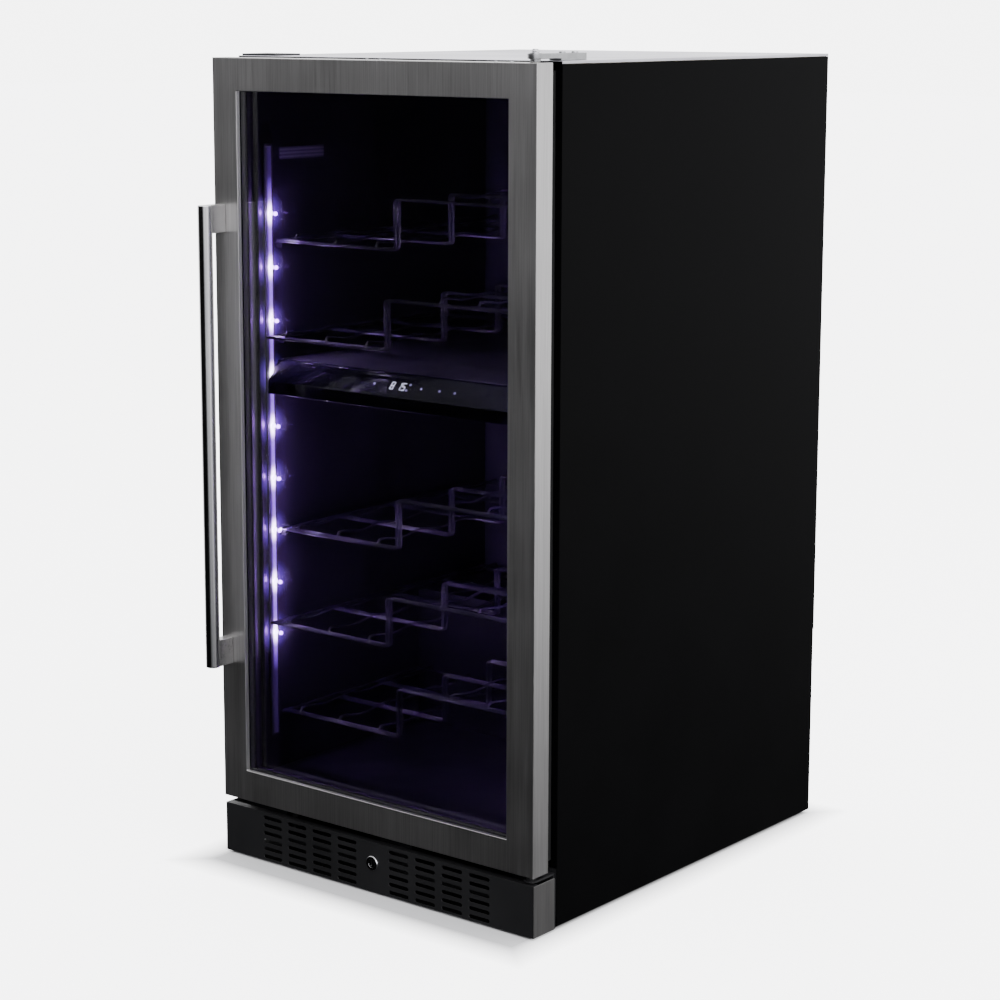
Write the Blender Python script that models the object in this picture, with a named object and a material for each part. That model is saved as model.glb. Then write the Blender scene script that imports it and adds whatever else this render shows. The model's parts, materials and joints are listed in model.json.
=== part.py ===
"""Tall two-zone wine cooler with a glass door, built as an assembly of separate pieces.

Metres. +X is to the right seen from the front, -Y is the front, +Z is up.
The origin lies on the floor, midway between the sides and midway between the
front of the handle and the back panel.
"""
import math

import bmesh
import bpy
from mathutils import Matrix, Vector

# ---- clearances ----------------------------------------------------------------
TOUCH_GAP = 0.0003        # between pieces that rest on or fit against each other
TURNING_GAP = 0.0004      # radial play of the lock and the hinge pins
CUT_OVERRUN = 0.002       # how far a cutting shape passes the face that it opens

# ---- cabinet -------------------------------------------------------------------
CABINET_WIDTH = 0.595
CABINET_DEPTH = 0.673
SHEET = 0.0010            # outer shell sheet steel
CHASSIS_SHEET = 0.0012    # base tray and bulkhead
BASE_HEIGHT = 0.0905      # floor to the underside of the door
FLOOR_THICKNESS = 0.033   # insulated floor, from the base to the liner's floor
LOWER_ZONE_HEIGHT = 0.5841
DIVIDER_HEIGHT = 0.0490
UPPER_ZONE_HEIGHT = 0.4144
CEILING_THICKNESS = 0.0353
SIDE_WALL_THICKNESS = 0.0395
REAR_WALL_THICKNESS = 0.048
LINER_SHEET = 0.002
SIDE_PANEL_LIFT = 0.006   # underside of the side panels above the floor
TOP_SKIRT = 0.004         # how far the top panel is folded down
REAR_FLANGE = 0.017       # how far the side panels are folded in at the back
BACK_OVERLAP = 0.002      # back panel below the top of the machine compartment
FRONT_FRAME_DEPTH = 0.010
TRAY_LIFT = 0.018         # underside of the base tray above the floor

# ---- machine compartment, at the bottom of the back ----------------------------
MACHINE_DEPTH = 0.273
MACHINE_HEIGHT = 0.306    # floor to the top of the bulkhead
STEP_INSULATION_DEPTH = 0.038
STEP_INSULATION_HEIGHT = 0.039

# ---- door ----------------------------------------------------------------------
DOOR_THICKNESS = 0.035
GASKET_GAP = 0.020        # between the door and the cabinet
DOOR_TOP_GAP = 0.0018     # top of the door below the top of the cabinet
DOOR_BORDER = 0.0475      # width of the steel frame
DOOR_SKIN = 0.0012
INNER_RETURN = 0.007      # how far the steel turns in towards the glass
EDGE_RADIUS = 0.0012
PANE = 0.004
PANE_SPACE = 0.010        # gas space between the two panes
PANE_OVERLAP = 0.010      # hidden border of each pane
GROOVE_LOW = 0.0190       # groove for the gasket's anchor, from the edge of the door
GROOVE_HIGH = 0.0235
GROOVE_DEPTH = 0.004
HINGE_INSET = 0.0145      # hinge axis from the side of the door
HINGE_DEPTH = 0.0149      # hinge axis from the front of the door
PIN_RADIUS = 0.004
PIN_REACH = 0.0115        # how far each pin enters the door
BUSHING_WALL = 0.0026
HINGE_BAR_WIDTH = 0.021
HINGE_BAR_HEIGHT = 0.007
HINGE_BAR_LIFT = 0.003
HINGE_PLATE_LENGTH = 0.059

# ---- handle --------------------------------------------------------------------
HANDLE_DIAMETER = 0.021
HANDLE_LENGTH = 0.691
HANDLE_INSET = 0.0156     # tube axis from the side of the door
HANDLE_STANDOFF = 0.0357  # tube axis from the front of the door
POST_WIDTH = 0.015
POST_HEIGHT = 0.041
SOFT_EDGE = 0.0006

# ---- kick plate and lock -------------------------------------------------------
KICK_LIFT = 0.003
KICK_HEIGHT = 0.0756
KICK_SETBACK = 0.0024     # kick plate behind the front of the door
KICK_SHEET = 0.0015
KICK_SIDE_DEPTH = 0.0476
KICK_TOP_FLANGE = 0.012
SLOT_LENGTH = 0.038
SLOT_HEIGHT = 0.006
SLOT_COLUMNS = 4          # on each side of the lock
SLOT_ROWS = 6
SLOT_COLUMN_PITCH = 0.050
SLOT_ROW_PITCH = 0.0122
LOCK_HEIGHT = 0.0437      # lock axis above the underside of the kick plate
LOCK_BARREL_RADIUS = 0.0095
LOCK_RING_RADIUS = 0.011
LOCK_PLUG_RADIUS = 0.006
LOCK_BARREL_LENGTH = 0.0249
CAM_WIDTH = 0.010
CAM_THICKNESS = 0.003
CAM_BITE = 0.005          # how far the cam enters the door when locked
CAM_SLOT_PLAY = 0.0018

# ---- inside --------------------------------------------------------------------
WIRE = 0.005
RACK_PITCH = 0.142
RACK_STEP = 0.072         # rise of the right half of a rack over its left half
LOWER_RACKS = 3
UPPER_RACKS = 2
FIRST_LOWER_RACK = 0.0915  # above the liner's floor
FIRST_UPPER_RACK = 0.0364  # above the divider
RACK_SIDE_PLAY = 0.011    # side wire's axis from the liner's wall
RISER_X = -0.018
BEND_RADIUS = 0.0035
NEAR_RACK_FRONT = 0.0075  # first cross wire behind the cabinet's front plane
FAR_RACK_FRONT = 0.030
RACK_REAR_GAP = 0.010
LEDGE_HEIGHT = 0.008
LEDGE_WIDTH = 0.0125
LEDGE_FRONT = 0.036
DUCT_DEPTH = 0.095        # cold air duct in front of the liner's rear wall
DUCT_SHEET = 0.002
FASCIA_DEPTH = 0.034
FASCIA_FRONT = 0.011
FASCIA_LIP = 0.019
FASCIA_SLOPE_DEPTH = 0.023
FASCIA_SIDE_GAP = 0.0035
BOARD_HALF = 0.040        # display board, from its middle to its end
BOARD_DEPTH = 0.012
BOARD_SILL = 0.008        # board above the underside of the fascia
BOARD_HEAD = 0.019        # board below the top of the fascia
BOARD_PLAY = 0.0015
LED_WIDTH = 0.014
LED_THICKNESS = 0.003
LED_FRONT = 0.012
LED_BOTTOM = 0.0575       # above the liner's floor
LED_TOP_GAP = 0.097       # below the liner's ceiling

# ---- cooling machinery ---------------------------------------------------------
FAN_SIZE = 0.092
FAN_DEPTH = 0.025
FAN_TOP_GAP = 0.037
FAN_TIP_PLAY = 0.002
CONDENSER_FAN_SIZE = 0.140
CONDENSER_FAN_GAP = 0.025  # fan's mouth beyond the end of the condenser
COMPRESSOR_RADIUS = 0.066
COMPRESSOR_SIDE_GAP = 0.090  # between the can and the tray's right wall
COMPRESSOR_INSET = 0.143  # can's axis in front of the back of the cabinet
COMPRESSOR_HEIGHT = 0.170
COMPRESSOR_SQUASH = 0.88  # front to back, compared with side to side
CONDENSER_LENGTH = 0.190
CONDENSER_DEPTH = 0.170
CONDENSER_HEIGHT = 0.175
CONDENSER_SIDE_GAP = 0.018
CONDENSER_SETBACK = 0.030  # behind the bulkhead
CONDENSER_LIFT = 0.010
EVAPORATOR_HALF = 0.15
EVAPORATOR_DEPTH = 0.050
EVAPORATOR_REAR_GAP = 0.014
EVAPORATOR_LIFT = 0.035
EVAPORATOR_FAN_GAP = 0.025
PIPE_RADIUS = 0.003
DRIER_RADIUS = 0.009
INLET_INSET = 0.075       # middle of the power inlet from the side of the cabinet
INLET_DROP = 0.045        # and below the top of the machine compartment
INLET_HALF_X = 0.0235
INLET_HALF_Z = 0.0120
FOOT_RADIUS = 0.020
STUD_RADIUS = 0.0048
FOOT_INSET_X = 0.0475
FOOT_FRONT = 0.050
FOOT_REAR = 0.050
FOOT_STUD_TOP = 0.055

# ---- worked out from the values above ------------------------------------------
HALF_WIDTH = CABINET_WIDTH / 2
HANDLE_REACH = HANDLE_STANDOFF + HANDLE_DIAMETER / 2
TOTAL_DEPTH = HANDLE_REACH + DOOR_THICKNESS + GASKET_GAP + CABINET_DEPTH
DOOR_FRONT_Y = HANDLE_REACH - TOTAL_DEPTH / 2
DOOR_REAR_Y = DOOR_FRONT_Y + DOOR_THICKNESS
FRONT_Y = DOOR_REAR_Y + GASKET_GAP
REAR_Y = FRONT_Y + CABINET_DEPTH

LINER_FLOOR_Z = BASE_HEIGHT + FLOOR_THICKNESS
DIVIDER_LOW_Z = LINER_FLOOR_Z + LOWER_ZONE_HEIGHT
DIVIDER_TOP_Z = DIVIDER_LOW_Z + DIVIDER_HEIGHT
BOARD_TOP_Z = DIVIDER_TOP_Z - BOARD_HEAD
LINER_CEILING_Z = DIVIDER_TOP_Z + UPPER_ZONE_HEIGHT
CABINET_TOP_Z = LINER_CEILING_Z + CEILING_THICKNESS
DOOR_LOW_Z = BASE_HEIGHT
DOOR_TOP_Z = CABINET_TOP_Z - DOOR_TOP_GAP

LINER_HALF = HALF_WIDTH - SIDE_WALL_THICKNESS
LINER_REAR_Y = REAR_Y - REAR_WALL_THICKNESS
SHELL_HALF = HALF_WIDTH - SHEET - TOUCH_GAP
SHELL_TOP_Z = CABINET_TOP_Z - SHEET - TOUCH_GAP
FLANGE_REAR_Y = REAR_Y - SHEET - 2 * TOUCH_GAP
INNER_REAR_Y = FLANGE_REAR_Y - SHEET - TOUCH_GAP
BULKHEAD_Y = REAR_Y - MACHINE_DEPTH
BULKHEAD_LOW_Z = BASE_HEIGHT - 0.0005
STEP_Y = BULKHEAD_Y - STEP_INSULATION_DEPTH
STEP_Z = MACHINE_HEIGHT + STEP_INSULATION_HEIGHT
DUCT_Y = LINER_REAR_Y - DUCT_DEPTH

HINGE_X = HALF_WIDTH - HINGE_INSET
HINGE_Y = DOOR_FRONT_Y + HINGE_DEPTH
KICK_FRONT_Y = DOOR_FRONT_Y + KICK_SETBACK
KICK_TOP_Z = KICK_LIFT + KICK_HEIGHT
LOCK_Z = KICK_LIFT + LOCK_HEIGHT
LOCK_FRONT_Y = KICK_FRONT_Y - 0.002
CAM_Y = LOCK_FRONT_Y + LOCK_BARREL_LENGTH + TOUCH_GAP
CAM_LENGTH = DOOR_LOW_Z - LOCK_Z + CAM_BITE
BUSHING_RADIUS = PIN_RADIUS + TURNING_GAP + BUSHING_WALL
PANE_EDGE = DOOR_BORDER - PANE_OVERLAP
PANE_FRONT = INNER_RETURN + 0.0015
PANES_REAR = PANE_FRONT + 2 * PANE + PANE_SPACE

MACHINE_HALF = SHELL_HALF - CHASSIS_SHEET - TOUCH_GAP
MACHINE_FLOOR_Z = TRAY_LIFT + CHASSIS_SHEET + TOUCH_GAP
CONDENSER_LEFT = CONDENSER_SIDE_GAP - MACHINE_HALF
CONDENSER_RIGHT = CONDENSER_LEFT + CONDENSER_LENGTH
CONDENSER_FRONT_Y = BULKHEAD_Y + CONDENSER_SETBACK
CONDENSER_LOW_Z = MACHINE_FLOOR_Z + CONDENSER_LIFT
CONDENSER_FAN_X = CONDENSER_RIGHT + CONDENSER_FAN_GAP
CONDENSER_FAN_Y = CONDENSER_FRONT_Y + CONDENSER_DEPTH / 2
COMPRESSOR_X = MACHINE_HALF - COMPRESSOR_SIDE_GAP - COMPRESSOR_RADIUS
COMPRESSOR_Y = REAR_Y - COMPRESSOR_INSET
COMPRESSOR_TOP_Z = MACHINE_FLOOR_Z + COMPRESSOR_HEIGHT
PIPE_CEILING_Z = MACHINE_HEIGHT - CHASSIS_SHEET - TOUCH_GAP
INLET_X = HALF_WIDTH - INLET_INSET
INLET_Z = MACHINE_HEIGHT - INLET_DROP

MATERIALS = {}


# ---- materials -----------------------------------------------------------------
def material(name, color, roughness, metallic=0.0, alpha=1.0):
    """One Principled material, made once and shared by name."""
    if name not in MATERIALS:
        made = bpy.data.materials.new(name)
        made.use_nodes = True
        shader = made.node_tree.nodes["Principled BSDF"]
        shader.inputs["Base Color"].default_value = (*color, 1.0)
        shader.inputs["Roughness"].default_value = roughness
        shader.inputs["Metallic"].default_value = metallic
        shader.inputs["Alpha"].default_value = alpha
        MATERIALS[name] = made
    return MATERIALS[name]


def brushed_steel():
    return material("brushed_steel", (0.42, 0.41, 0.41), 0.34, 1.0)


def polished_steel():
    return material("polished_steel", (0.62, 0.62, 0.63), 0.12, 1.0)


def black_paint():
    return material("black_paint", (0.012, 0.012, 0.013), 0.35)


def black_plastic():
    return material("black_plastic", (0.015, 0.015, 0.018), 0.45)


def gloss_black():
    return material("gloss_black", (0.008, 0.008, 0.012), 0.08)


def zinc_plate():
    return material("zinc_plate", (0.55, 0.56, 0.58), 0.35, 1.0)


def clear_glass():
    return material("clear_glass", (0.80, 0.84, 0.86), 0.03, 0.0, 0.25)


def rubber():
    return material("rubber", (0.02, 0.02, 0.02), 0.8)


def foam():
    return material("foam", (0.75, 0.66, 0.42), 0.95)


def copper():
    return material("copper", (0.72, 0.38, 0.24), 0.3, 1.0)


def aluminium():
    return material("aluminium", (0.75, 0.76, 0.77), 0.4, 1.0)


def pale_sheet():
    return material("pale_sheet", (0.66, 0.65, 0.70), 0.3)


def lamp_cover():
    return material("lamp_cover", (0.78, 0.74, 0.95), 0.4)


def black_wire():
    return material("black_wire", (0.01, 0.01, 0.012), 0.3)


# ---- modelling helpers ---------------------------------------------------------
def new_object(name, mesh, finish):
    """Put a mesh in the scene as a named object with its finish."""
    made = bpy.data.objects.new(name, mesh)
    bpy.context.scene.collection.objects.link(made)
    if finish is not None:
        mesh.materials.append(finish)
    return made


def mesh_from(name, bm):
    """Turn a bmesh into a mesh with its faces pointing outwards."""
    bmesh.ops.recalc_face_normals(bm, faces=bm.faces)
    mesh = bpy.data.meshes.new(name)
    bm.to_mesh(mesh)
    bm.free()
    return mesh


def add_box(bm, low, high):
    """Add a rectangular body between two corners."""
    size = Vector(high) - Vector(low)
    centre = (Vector(high) + Vector(low)) / 2
    matrix = Matrix.Translation(centre) @ Matrix.Diagonal((*size, 1.0))
    bmesh.ops.create_cube(bm, size=1.0, matrix=matrix)


def block(name, low, high, finish=None):
    """Rectangular solid, with its origin at its centre."""
    size = Vector(high) - Vector(low)
    bm = bmesh.new()
    bmesh.ops.create_cube(bm, size=1.0, matrix=Matrix.Diagonal((*size, 1.0)))
    made = new_object(name, mesh_from(name, bm), finish)
    made.location = (Vector(high) + Vector(low)) / 2
    return made


def boxes(name, corners, finish=None):
    """Several rectangular bodies in one mesh, each given by two corners."""
    bm = bmesh.new()
    for low, high in corners:
        add_box(bm, low, high)
    return new_object(name, mesh_from(name, bm), finish)


def prism(name, outline, axis, start, end, finish=None):
    """Extrude a flat outline along X, Y or Z. The outline gives the other two axes in order."""
    place = {
        "X": lambda a, b: (start, a, b),
        "Y": lambda a, b: (a, start, b),
        "Z": lambda a, b: (a, b, start),
    }[axis]
    direction = {"X": Vector((1, 0, 0)), "Y": Vector((0, 1, 0)), "Z": Vector((0, 0, 1))}[axis]
    bm = bmesh.new()
    face = bm.faces.new([bm.verts.new(place(a, b)) for a, b in outline])
    grown = bmesh.ops.extrude_face_region(bm, geom=[face])["geom"]
    moved = [item for item in grown if isinstance(item, bmesh.types.BMVert)]
    bmesh.ops.translate(bm, vec=direction * (end - start), verts=moved)
    return new_object(name, mesh_from(name, bm), finish)


def arc(centre, radius, start_deg, end_deg, steps):
    """Points on an arc in a plane, both ends included."""
    points = []
    for i in range(steps + 1):
        angle = math.radians(start_deg + (end_deg - start_deg) * i / steps)
        points.append((centre[0] + radius * math.cos(angle), centre[1] + radius * math.sin(angle)))
    return points


def turned(name, profile, sides, finish=None, closed=False):
    """Turn a profile of (radius, height) about Z. A closed profile makes a ring."""
    bm = bmesh.new()
    verts = [bm.verts.new((radius, 0, height)) for radius, height in profile]
    edges = [bm.edges.new(pair) for pair in zip(verts, verts[1:])]
    if closed:
        edges.append(bm.edges.new((verts[-1], verts[0])))
    bmesh.ops.spin(
        bm, geom=verts + edges, cent=(0, 0, 0), axis=(0, 0, 1),
        angle=math.tau, steps=sides, use_duplicate=False,
    )
    bmesh.ops.remove_doubles(bm, verts=bm.verts, dist=0.00001)
    made = new_object(name, mesh_from(name, bm), finish)
    made.data.shade_smooth()
    made.data.set_sharp_from_angle(angle=math.radians(35))
    return made


def rod(name, centre, radius, low, high, sides=16, finish=None):
    """Upright cylinder at centre (x, y), from low to high."""
    made = turned(name, [(0, low), (radius, low), (radius, high), (0, high)], sides, finish)
    made.location = (centre[0], centre[1], 0)
    return made


def rect_ring(name, profile, half_width, low_z, high_z, front_y, finish=None):
    """Sweep a profile round an upright rectangle, with square mitred corners.

    Each profile point is (inset from the rectangle's edge, depth behind front_y).
    """
    bm = bmesh.new()
    loops = []
    for side, foot in ((-1, True), (1, True), (1, False), (-1, False)):
        loop = []
        for inset, depth in profile:
            x = side * (half_width - inset)
            z = low_z + inset if foot else high_z - inset
            loop.append(bm.verts.new((x, front_y + depth, z)))
        loops.append(loop)
    for i, loop in enumerate(loops):
        following = loops[(i + 1) % len(loops)]
        for j in range(len(profile)):
            k = (j + 1) % len(profile)
            bm.faces.new((loop[j], loop[k], following[k], following[j]))
    return new_object(name, mesh_from(name, bm), finish)


def tube_mesh(name, paths, radius, resolution):
    """Mesh of round wires along several paths, as one curve with filled ends."""
    curve = bpy.data.curves.new(name, "CURVE")
    curve.dimensions = "3D"
    curve.bevel_depth = radius
    curve.bevel_resolution = resolution
    curve.use_fill_caps = True
    for path in paths:
        spline = curve.splines.new("POLY")
        spline.points.add(len(path) - 1)
        for point, place in zip(spline.points, path):
            point.co = (*place, 1.0)
    holder = bpy.data.objects.new(name, curve)
    bpy.context.scene.collection.objects.link(holder)
    depsgraph = bpy.context.evaluated_depsgraph_get()
    mesh = bpy.data.meshes.new_from_object(holder.evaluated_get(depsgraph))
    bpy.data.objects.remove(holder)
    bm = bmesh.new()
    bm.from_mesh(mesh)
    bmesh.ops.remove_doubles(bm, verts=bm.verts, dist=0.00001)
    bmesh.ops.recalc_face_normals(bm, faces=bm.faces)
    bm.to_mesh(mesh)
    bm.free()
    return mesh


def wires(name, paths, radius, resolution, finish=None):
    """Round wires as one object."""
    mesh = tube_mesh(name, paths, radius, resolution)
    mesh.materials.clear()
    made = new_object(name, mesh, finish)
    mesh.shade_smooth()
    mesh.set_sharp_from_angle(angle=math.radians(50))
    return made


def boolean(target, tool, operation):
    """Combine a helper shape with a target; the helper is left out of the model."""
    tool.name = f"{target.name}_{operation.lower()}_{len(target.modifiers)}"
    tool.hide_render = True
    tool.display_type = "WIRE"
    step = target.modifiers.new(operation.lower(), "BOOLEAN")
    step.operation = operation
    step.solver = "EXACT"
    step.object = tool
    return target


def cut(target, tool):
    return boolean(target, tool, "DIFFERENCE")


def fuse(target, tool):
    return boolean(target, tool, "UNION")


def bevel(target, width, segments=1):
    """Ease the sharp edges of a piece."""
    step = target.modifiers.new("eased_edges", "BEVEL")
    step.width = width
    step.segments = segments
    step.limit_method = "ANGLE"
    step.angle_limit = math.radians(40)
    return target


def pivot(name, place, pieces):
    """Hang pieces on an empty that stands on their joint's axis."""
    empty = bpy.data.objects.new(name, None)
    bpy.context.scene.collection.objects.link(empty)
    empty.location = place
    for piece in pieces:
        piece.parent = empty
        piece.matrix_parent_inverse = Matrix.Translation(Vector(place)).inverted()
    return empty


# ---- outer shell ---------------------------------------------------------------
def side_panel(name, side):
    """Outer side sheet, folded in at the back."""
    outer = side * HALF_WIDTH
    inner = side * (HALF_WIDTH - SHEET)
    flange = side * (HALF_WIDTH - REAR_FLANGE)
    outline = [
        (outer, FRONT_Y), (outer, FLANGE_REAR_Y), (flange, FLANGE_REAR_Y),
        (flange, FLANGE_REAR_Y - SHEET), (inner, FLANGE_REAR_Y - SHEET), (inner, FRONT_Y),
    ]
    high = CABINET_TOP_Z - TOP_SKIRT - TOUCH_GAP
    return prism(name, outline, "Z", SIDE_PANEL_LIFT, high, black_paint())


def top_panel():
    """Top sheet, folded down at the sides and the back."""
    skirt_z = CABINET_TOP_Z - TOP_SKIRT
    panel = block("top_panel", (-HALF_WIDTH, FRONT_Y, skirt_z),
                  (HALF_WIDTH, REAR_Y, CABINET_TOP_Z), pale_sheet())
    inside = block("inside", (SHEET - HALF_WIDTH, FRONT_Y - CUT_OVERRUN, skirt_z - CUT_OVERRUN),
                   (HALF_WIDTH - SHEET, REAR_Y - SHEET, CABINET_TOP_Z - SHEET))
    return cut(panel, inside)


def back_panel():
    low = (-HALF_WIDTH, FLANGE_REAR_Y + TOUCH_GAP, MACHINE_HEIGHT - BACK_OVERLAP)
    high = (HALF_WIDTH, REAR_Y, CABINET_TOP_Z - TOP_SKIRT - TOUCH_GAP)
    return block("back_panel", low, high, black_paint())


def feet_places():
    """Axis of each levelling foot, by name."""
    x = HALF_WIDTH - FOOT_INSET_X
    front = FRONT_Y + FOOT_FRONT
    rear = REAR_Y - FOOT_REAR
    return {
        "foot_front_left": (-x, front), "foot_front_right": (x, front),
        "foot_rear_left": (-x, rear), "foot_rear_right": (x, rear),
    }


def base_tray():
    """Steel pan that carries the cabinet, with air windows in its front wall."""
    top_z = BULKHEAD_LOW_Z - TOUCH_GAP
    front = FRONT_Y + TOUCH_GAP
    tray = block("base_tray", (-SHELL_HALF, front, TRAY_LIFT),
                 (SHELL_HALF, INNER_REAR_Y, top_z), black_paint())
    wall = CHASSIS_SHEET
    cut(tray, block("hollow", (wall - SHELL_HALF, front + wall, TRAY_LIFT + wall),
                    (SHELL_HALF - wall, INNER_REAR_Y - wall, top_z + CUT_OVERRUN)))
    rear_wall_height = 0.022
    corner = 0.030
    cut(tray, block("rear_opening",
                    (corner - SHELL_HALF, INNER_REAR_Y - corner, TRAY_LIFT + rear_wall_height),
                    (SHELL_HALF - corner, INNER_REAR_Y + CUT_OVERRUN, top_z + CUT_OVERRUN)))
    windows = []
    sill = 0.010
    head = 0.008
    window_inner = 0.030
    window_outer = HALF_WIDTH - FOOT_INSET_X - 0.030
    for side in (-1, 1):
        ends = sorted((side * window_inner, side * window_outer))
        windows.append(((ends[0], front - CUT_OVERRUN, TRAY_LIFT + sill),
                        (ends[1], front + wall + CUT_OVERRUN, top_z - head)))
    cut(tray, boxes("air_windows", windows))
    for place in feet_places().values():
        cut(tray, rod("foot_hole", place, STUD_RADIUS + 2 * TOUCH_GAP,
                      TRAY_LIFT - CUT_OVERRUN, TRAY_LIFT + wall + CUT_OVERRUN, 12))
    return tray


def bulkhead():
    """Bent sheet under the insulation, over the base and the machine compartment."""
    t = CHASSIS_SHEET
    front = FRONT_Y + FRONT_FRAME_DEPTH + TOUCH_GAP
    low = BULKHEAD_LOW_Z
    outline = [
        (front, low), (BULKHEAD_Y + t, low), (BULKHEAD_Y + t, MACHINE_HEIGHT - t),
        (INNER_REAR_Y, MACHINE_HEIGHT - t), (INNER_REAR_Y, MACHINE_HEIGHT),
        (BULKHEAD_Y, MACHINE_HEIGHT), (BULKHEAD_Y, low + t), (front, low + t),
    ]
    return prism("bulkhead", outline, "X", -SHELL_HALF, SHELL_HALF, zinc_plate())


def stepped_outline(grow, front):
    """Side view of the cold room with its step over the machinery, grown on every side."""
    return [
        (front, LINER_FLOOR_Z - grow), (STEP_Y + grow, LINER_FLOOR_Z - grow),
        (STEP_Y + grow, STEP_Z - grow), (LINER_REAR_Y + grow, STEP_Z - grow),
        (LINER_REAR_Y + grow, LINER_CEILING_Z + grow), (front, LINER_CEILING_Z + grow),
    ]


def foam_insulation():
    """Rigid foam between the shell and the liner."""
    front = FRONT_Y + FRONT_FRAME_DEPTH + TOUCH_GAP
    low = BULKHEAD_LOW_Z + CHASSIS_SHEET + TOUCH_GAP
    step_z = MACHINE_HEIGHT + TOUCH_GAP
    outline = [
        (front, low), (BULKHEAD_Y - TOUCH_GAP, low), (BULKHEAD_Y - TOUCH_GAP, step_z),
        (INNER_REAR_Y, step_z), (INNER_REAR_Y, SHELL_TOP_Z), (front, SHELL_TOP_Z),
    ]
    body = prism("foam_insulation", outline, "X", -SHELL_HALF, SHELL_HALF, foam())
    grow = LINER_SHEET + TOUCH_GAP
    room = prism("room", stepped_outline(grow, front - CUT_OVERRUN), "X",
                 -LINER_HALF - grow, LINER_HALF + grow)
    return cut(body, room)


def front_frame():
    """Flat face between shell and liner that the door's gasket seals against."""
    frame = block("front_frame", (-SHELL_HALF, FRONT_Y, BASE_HEIGHT),
                  (SHELL_HALF, FRONT_Y + FRONT_FRAME_DEPTH, SHELL_TOP_Z), black_paint())
    grow = LINER_SHEET + TOUCH_GAP
    opening = block("opening", (-LINER_HALF - grow, FRONT_Y - CUT_OVERRUN, LINER_FLOOR_Z - grow),
                    (LINER_HALF + grow, FRONT_Y + FRONT_FRAME_DEPTH + CUT_OVERRUN,
                     LINER_CEILING_Z + grow))
    return cut(frame, opening)


# ---- cold room -----------------------------------------------------------------
def rack_levels():
    """Height of each rack's low half, from the top rack down."""
    upper = [DIVIDER_TOP_Z + FIRST_UPPER_RACK + RACK_PITCH * i for i in range(UPPER_RACKS)]
    lower = [LINER_FLOOR_Z + FIRST_LOWER_RACK + RACK_PITCH * i for i in range(LOWER_RACKS)]
    return sorted(upper + lower, reverse=True)


def rack_rear(level):
    """A rack below the step ends in front of it; the others end in front of the ducts."""
    if level < STEP_Z:
        return STEP_Y - RACK_REAR_GAP
    return DUCT_Y - RACK_REAR_GAP


def inner_liner():
    """Moulded plastic liner with a ledge under each side of each rack."""
    liner = prism("inner_liner", stepped_outline(LINER_SHEET, FRONT_Y), "X",
                  -LINER_HALF - LINER_SHEET, LINER_HALF + LINER_SHEET, black_plastic())
    cut(liner, prism("room", stepped_outline(0, FRONT_Y - CUT_OVERRUN), "X",
                     -LINER_HALF, LINER_HALF))
    ledges = []
    root = LINER_HALF + LINER_SHEET / 2
    tip = LINER_HALF - LEDGE_WIDTH
    for level in rack_levels():
        for side, height in ((-1, level), (1, level + RACK_STEP)):
            top = height - WIRE / 2 - TOUCH_GAP
            ends = sorted((side * root, side * tip))
            ledges.append(((ends[0], FRONT_Y + LEDGE_FRONT, top - LEDGE_HEIGHT),
                           (ends[1], rack_rear(level), top)))
    return fuse(liner, boxes("ledges", ledges))


def zone_divider():
    """Insulated shelf that parts the two zones."""
    half = LINER_HALF - TOUCH_GAP
    low = (-half, FRONT_Y + FASCIA_FRONT + FASCIA_DEPTH, DIVIDER_LOW_Z)
    high = (half, LINER_REAR_Y - TOUCH_GAP, DIVIDER_TOP_Z)
    return block("zone_divider", low, high, black_plastic())


def control_fascia():
    """Sloped glossy control panel on the front of the divider."""
    front = FRONT_Y + FASCIA_FRONT
    rear = front + FASCIA_DEPTH - TOUCH_GAP
    outline = [
        (front, DIVIDER_LOW_Z), (front, DIVIDER_LOW_Z + FASCIA_LIP),
        (front + FASCIA_SLOPE_DEPTH, DIVIDER_TOP_Z), (rear, DIVIDER_TOP_Z),
        (rear, DIVIDER_LOW_Z),
    ]
    half = LINER_HALF - FASCIA_SIDE_GAP
    fascia = prism("control_fascia", outline, "X", -half, half, gloss_black())
    pocket = block("board_pocket",
                   (-BOARD_HALF - BOARD_PLAY, rear - BOARD_DEPTH - 2 * BOARD_PLAY,
                    DIVIDER_LOW_Z + BOARD_SILL - BOARD_PLAY),
                   (BOARD_HALF + BOARD_PLAY, rear + CUT_OVERRUN, BOARD_TOP_Z + BOARD_PLAY))
    return cut(fascia, pocket)


def display_board():
    """Circuit board with the two temperature displays, in the fascia's pocket."""
    rear = FRONT_Y + FASCIA_FRONT + FASCIA_DEPTH - TOUCH_GAP
    low = (-BOARD_HALF, rear - BOARD_DEPTH - BOARD_PLAY, DIVIDER_LOW_Z + BOARD_SILL)
    high = (BOARD_HALF, rear - BOARD_PLAY, BOARD_TOP_Z)
    return block("display_board", low, high, black_plastic())


def stepped_path(y, level):
    """Cross wire of a rack: low on the left, up at the riser, high on the right."""
    end = LINER_HALF - RACK_SIDE_PLAY
    high = level + RACK_STEP
    r = BEND_RADIUS
    bend_steps = 3
    points = [(-end, level)]
    points += arc((RISER_X - r, level + r), r, -90, 0, bend_steps)
    points += arc((RISER_X + r, high - r), r, 180, 90, bend_steps)
    points.append((end, high))
    return [(x, y, z) for x, z in points]


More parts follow.
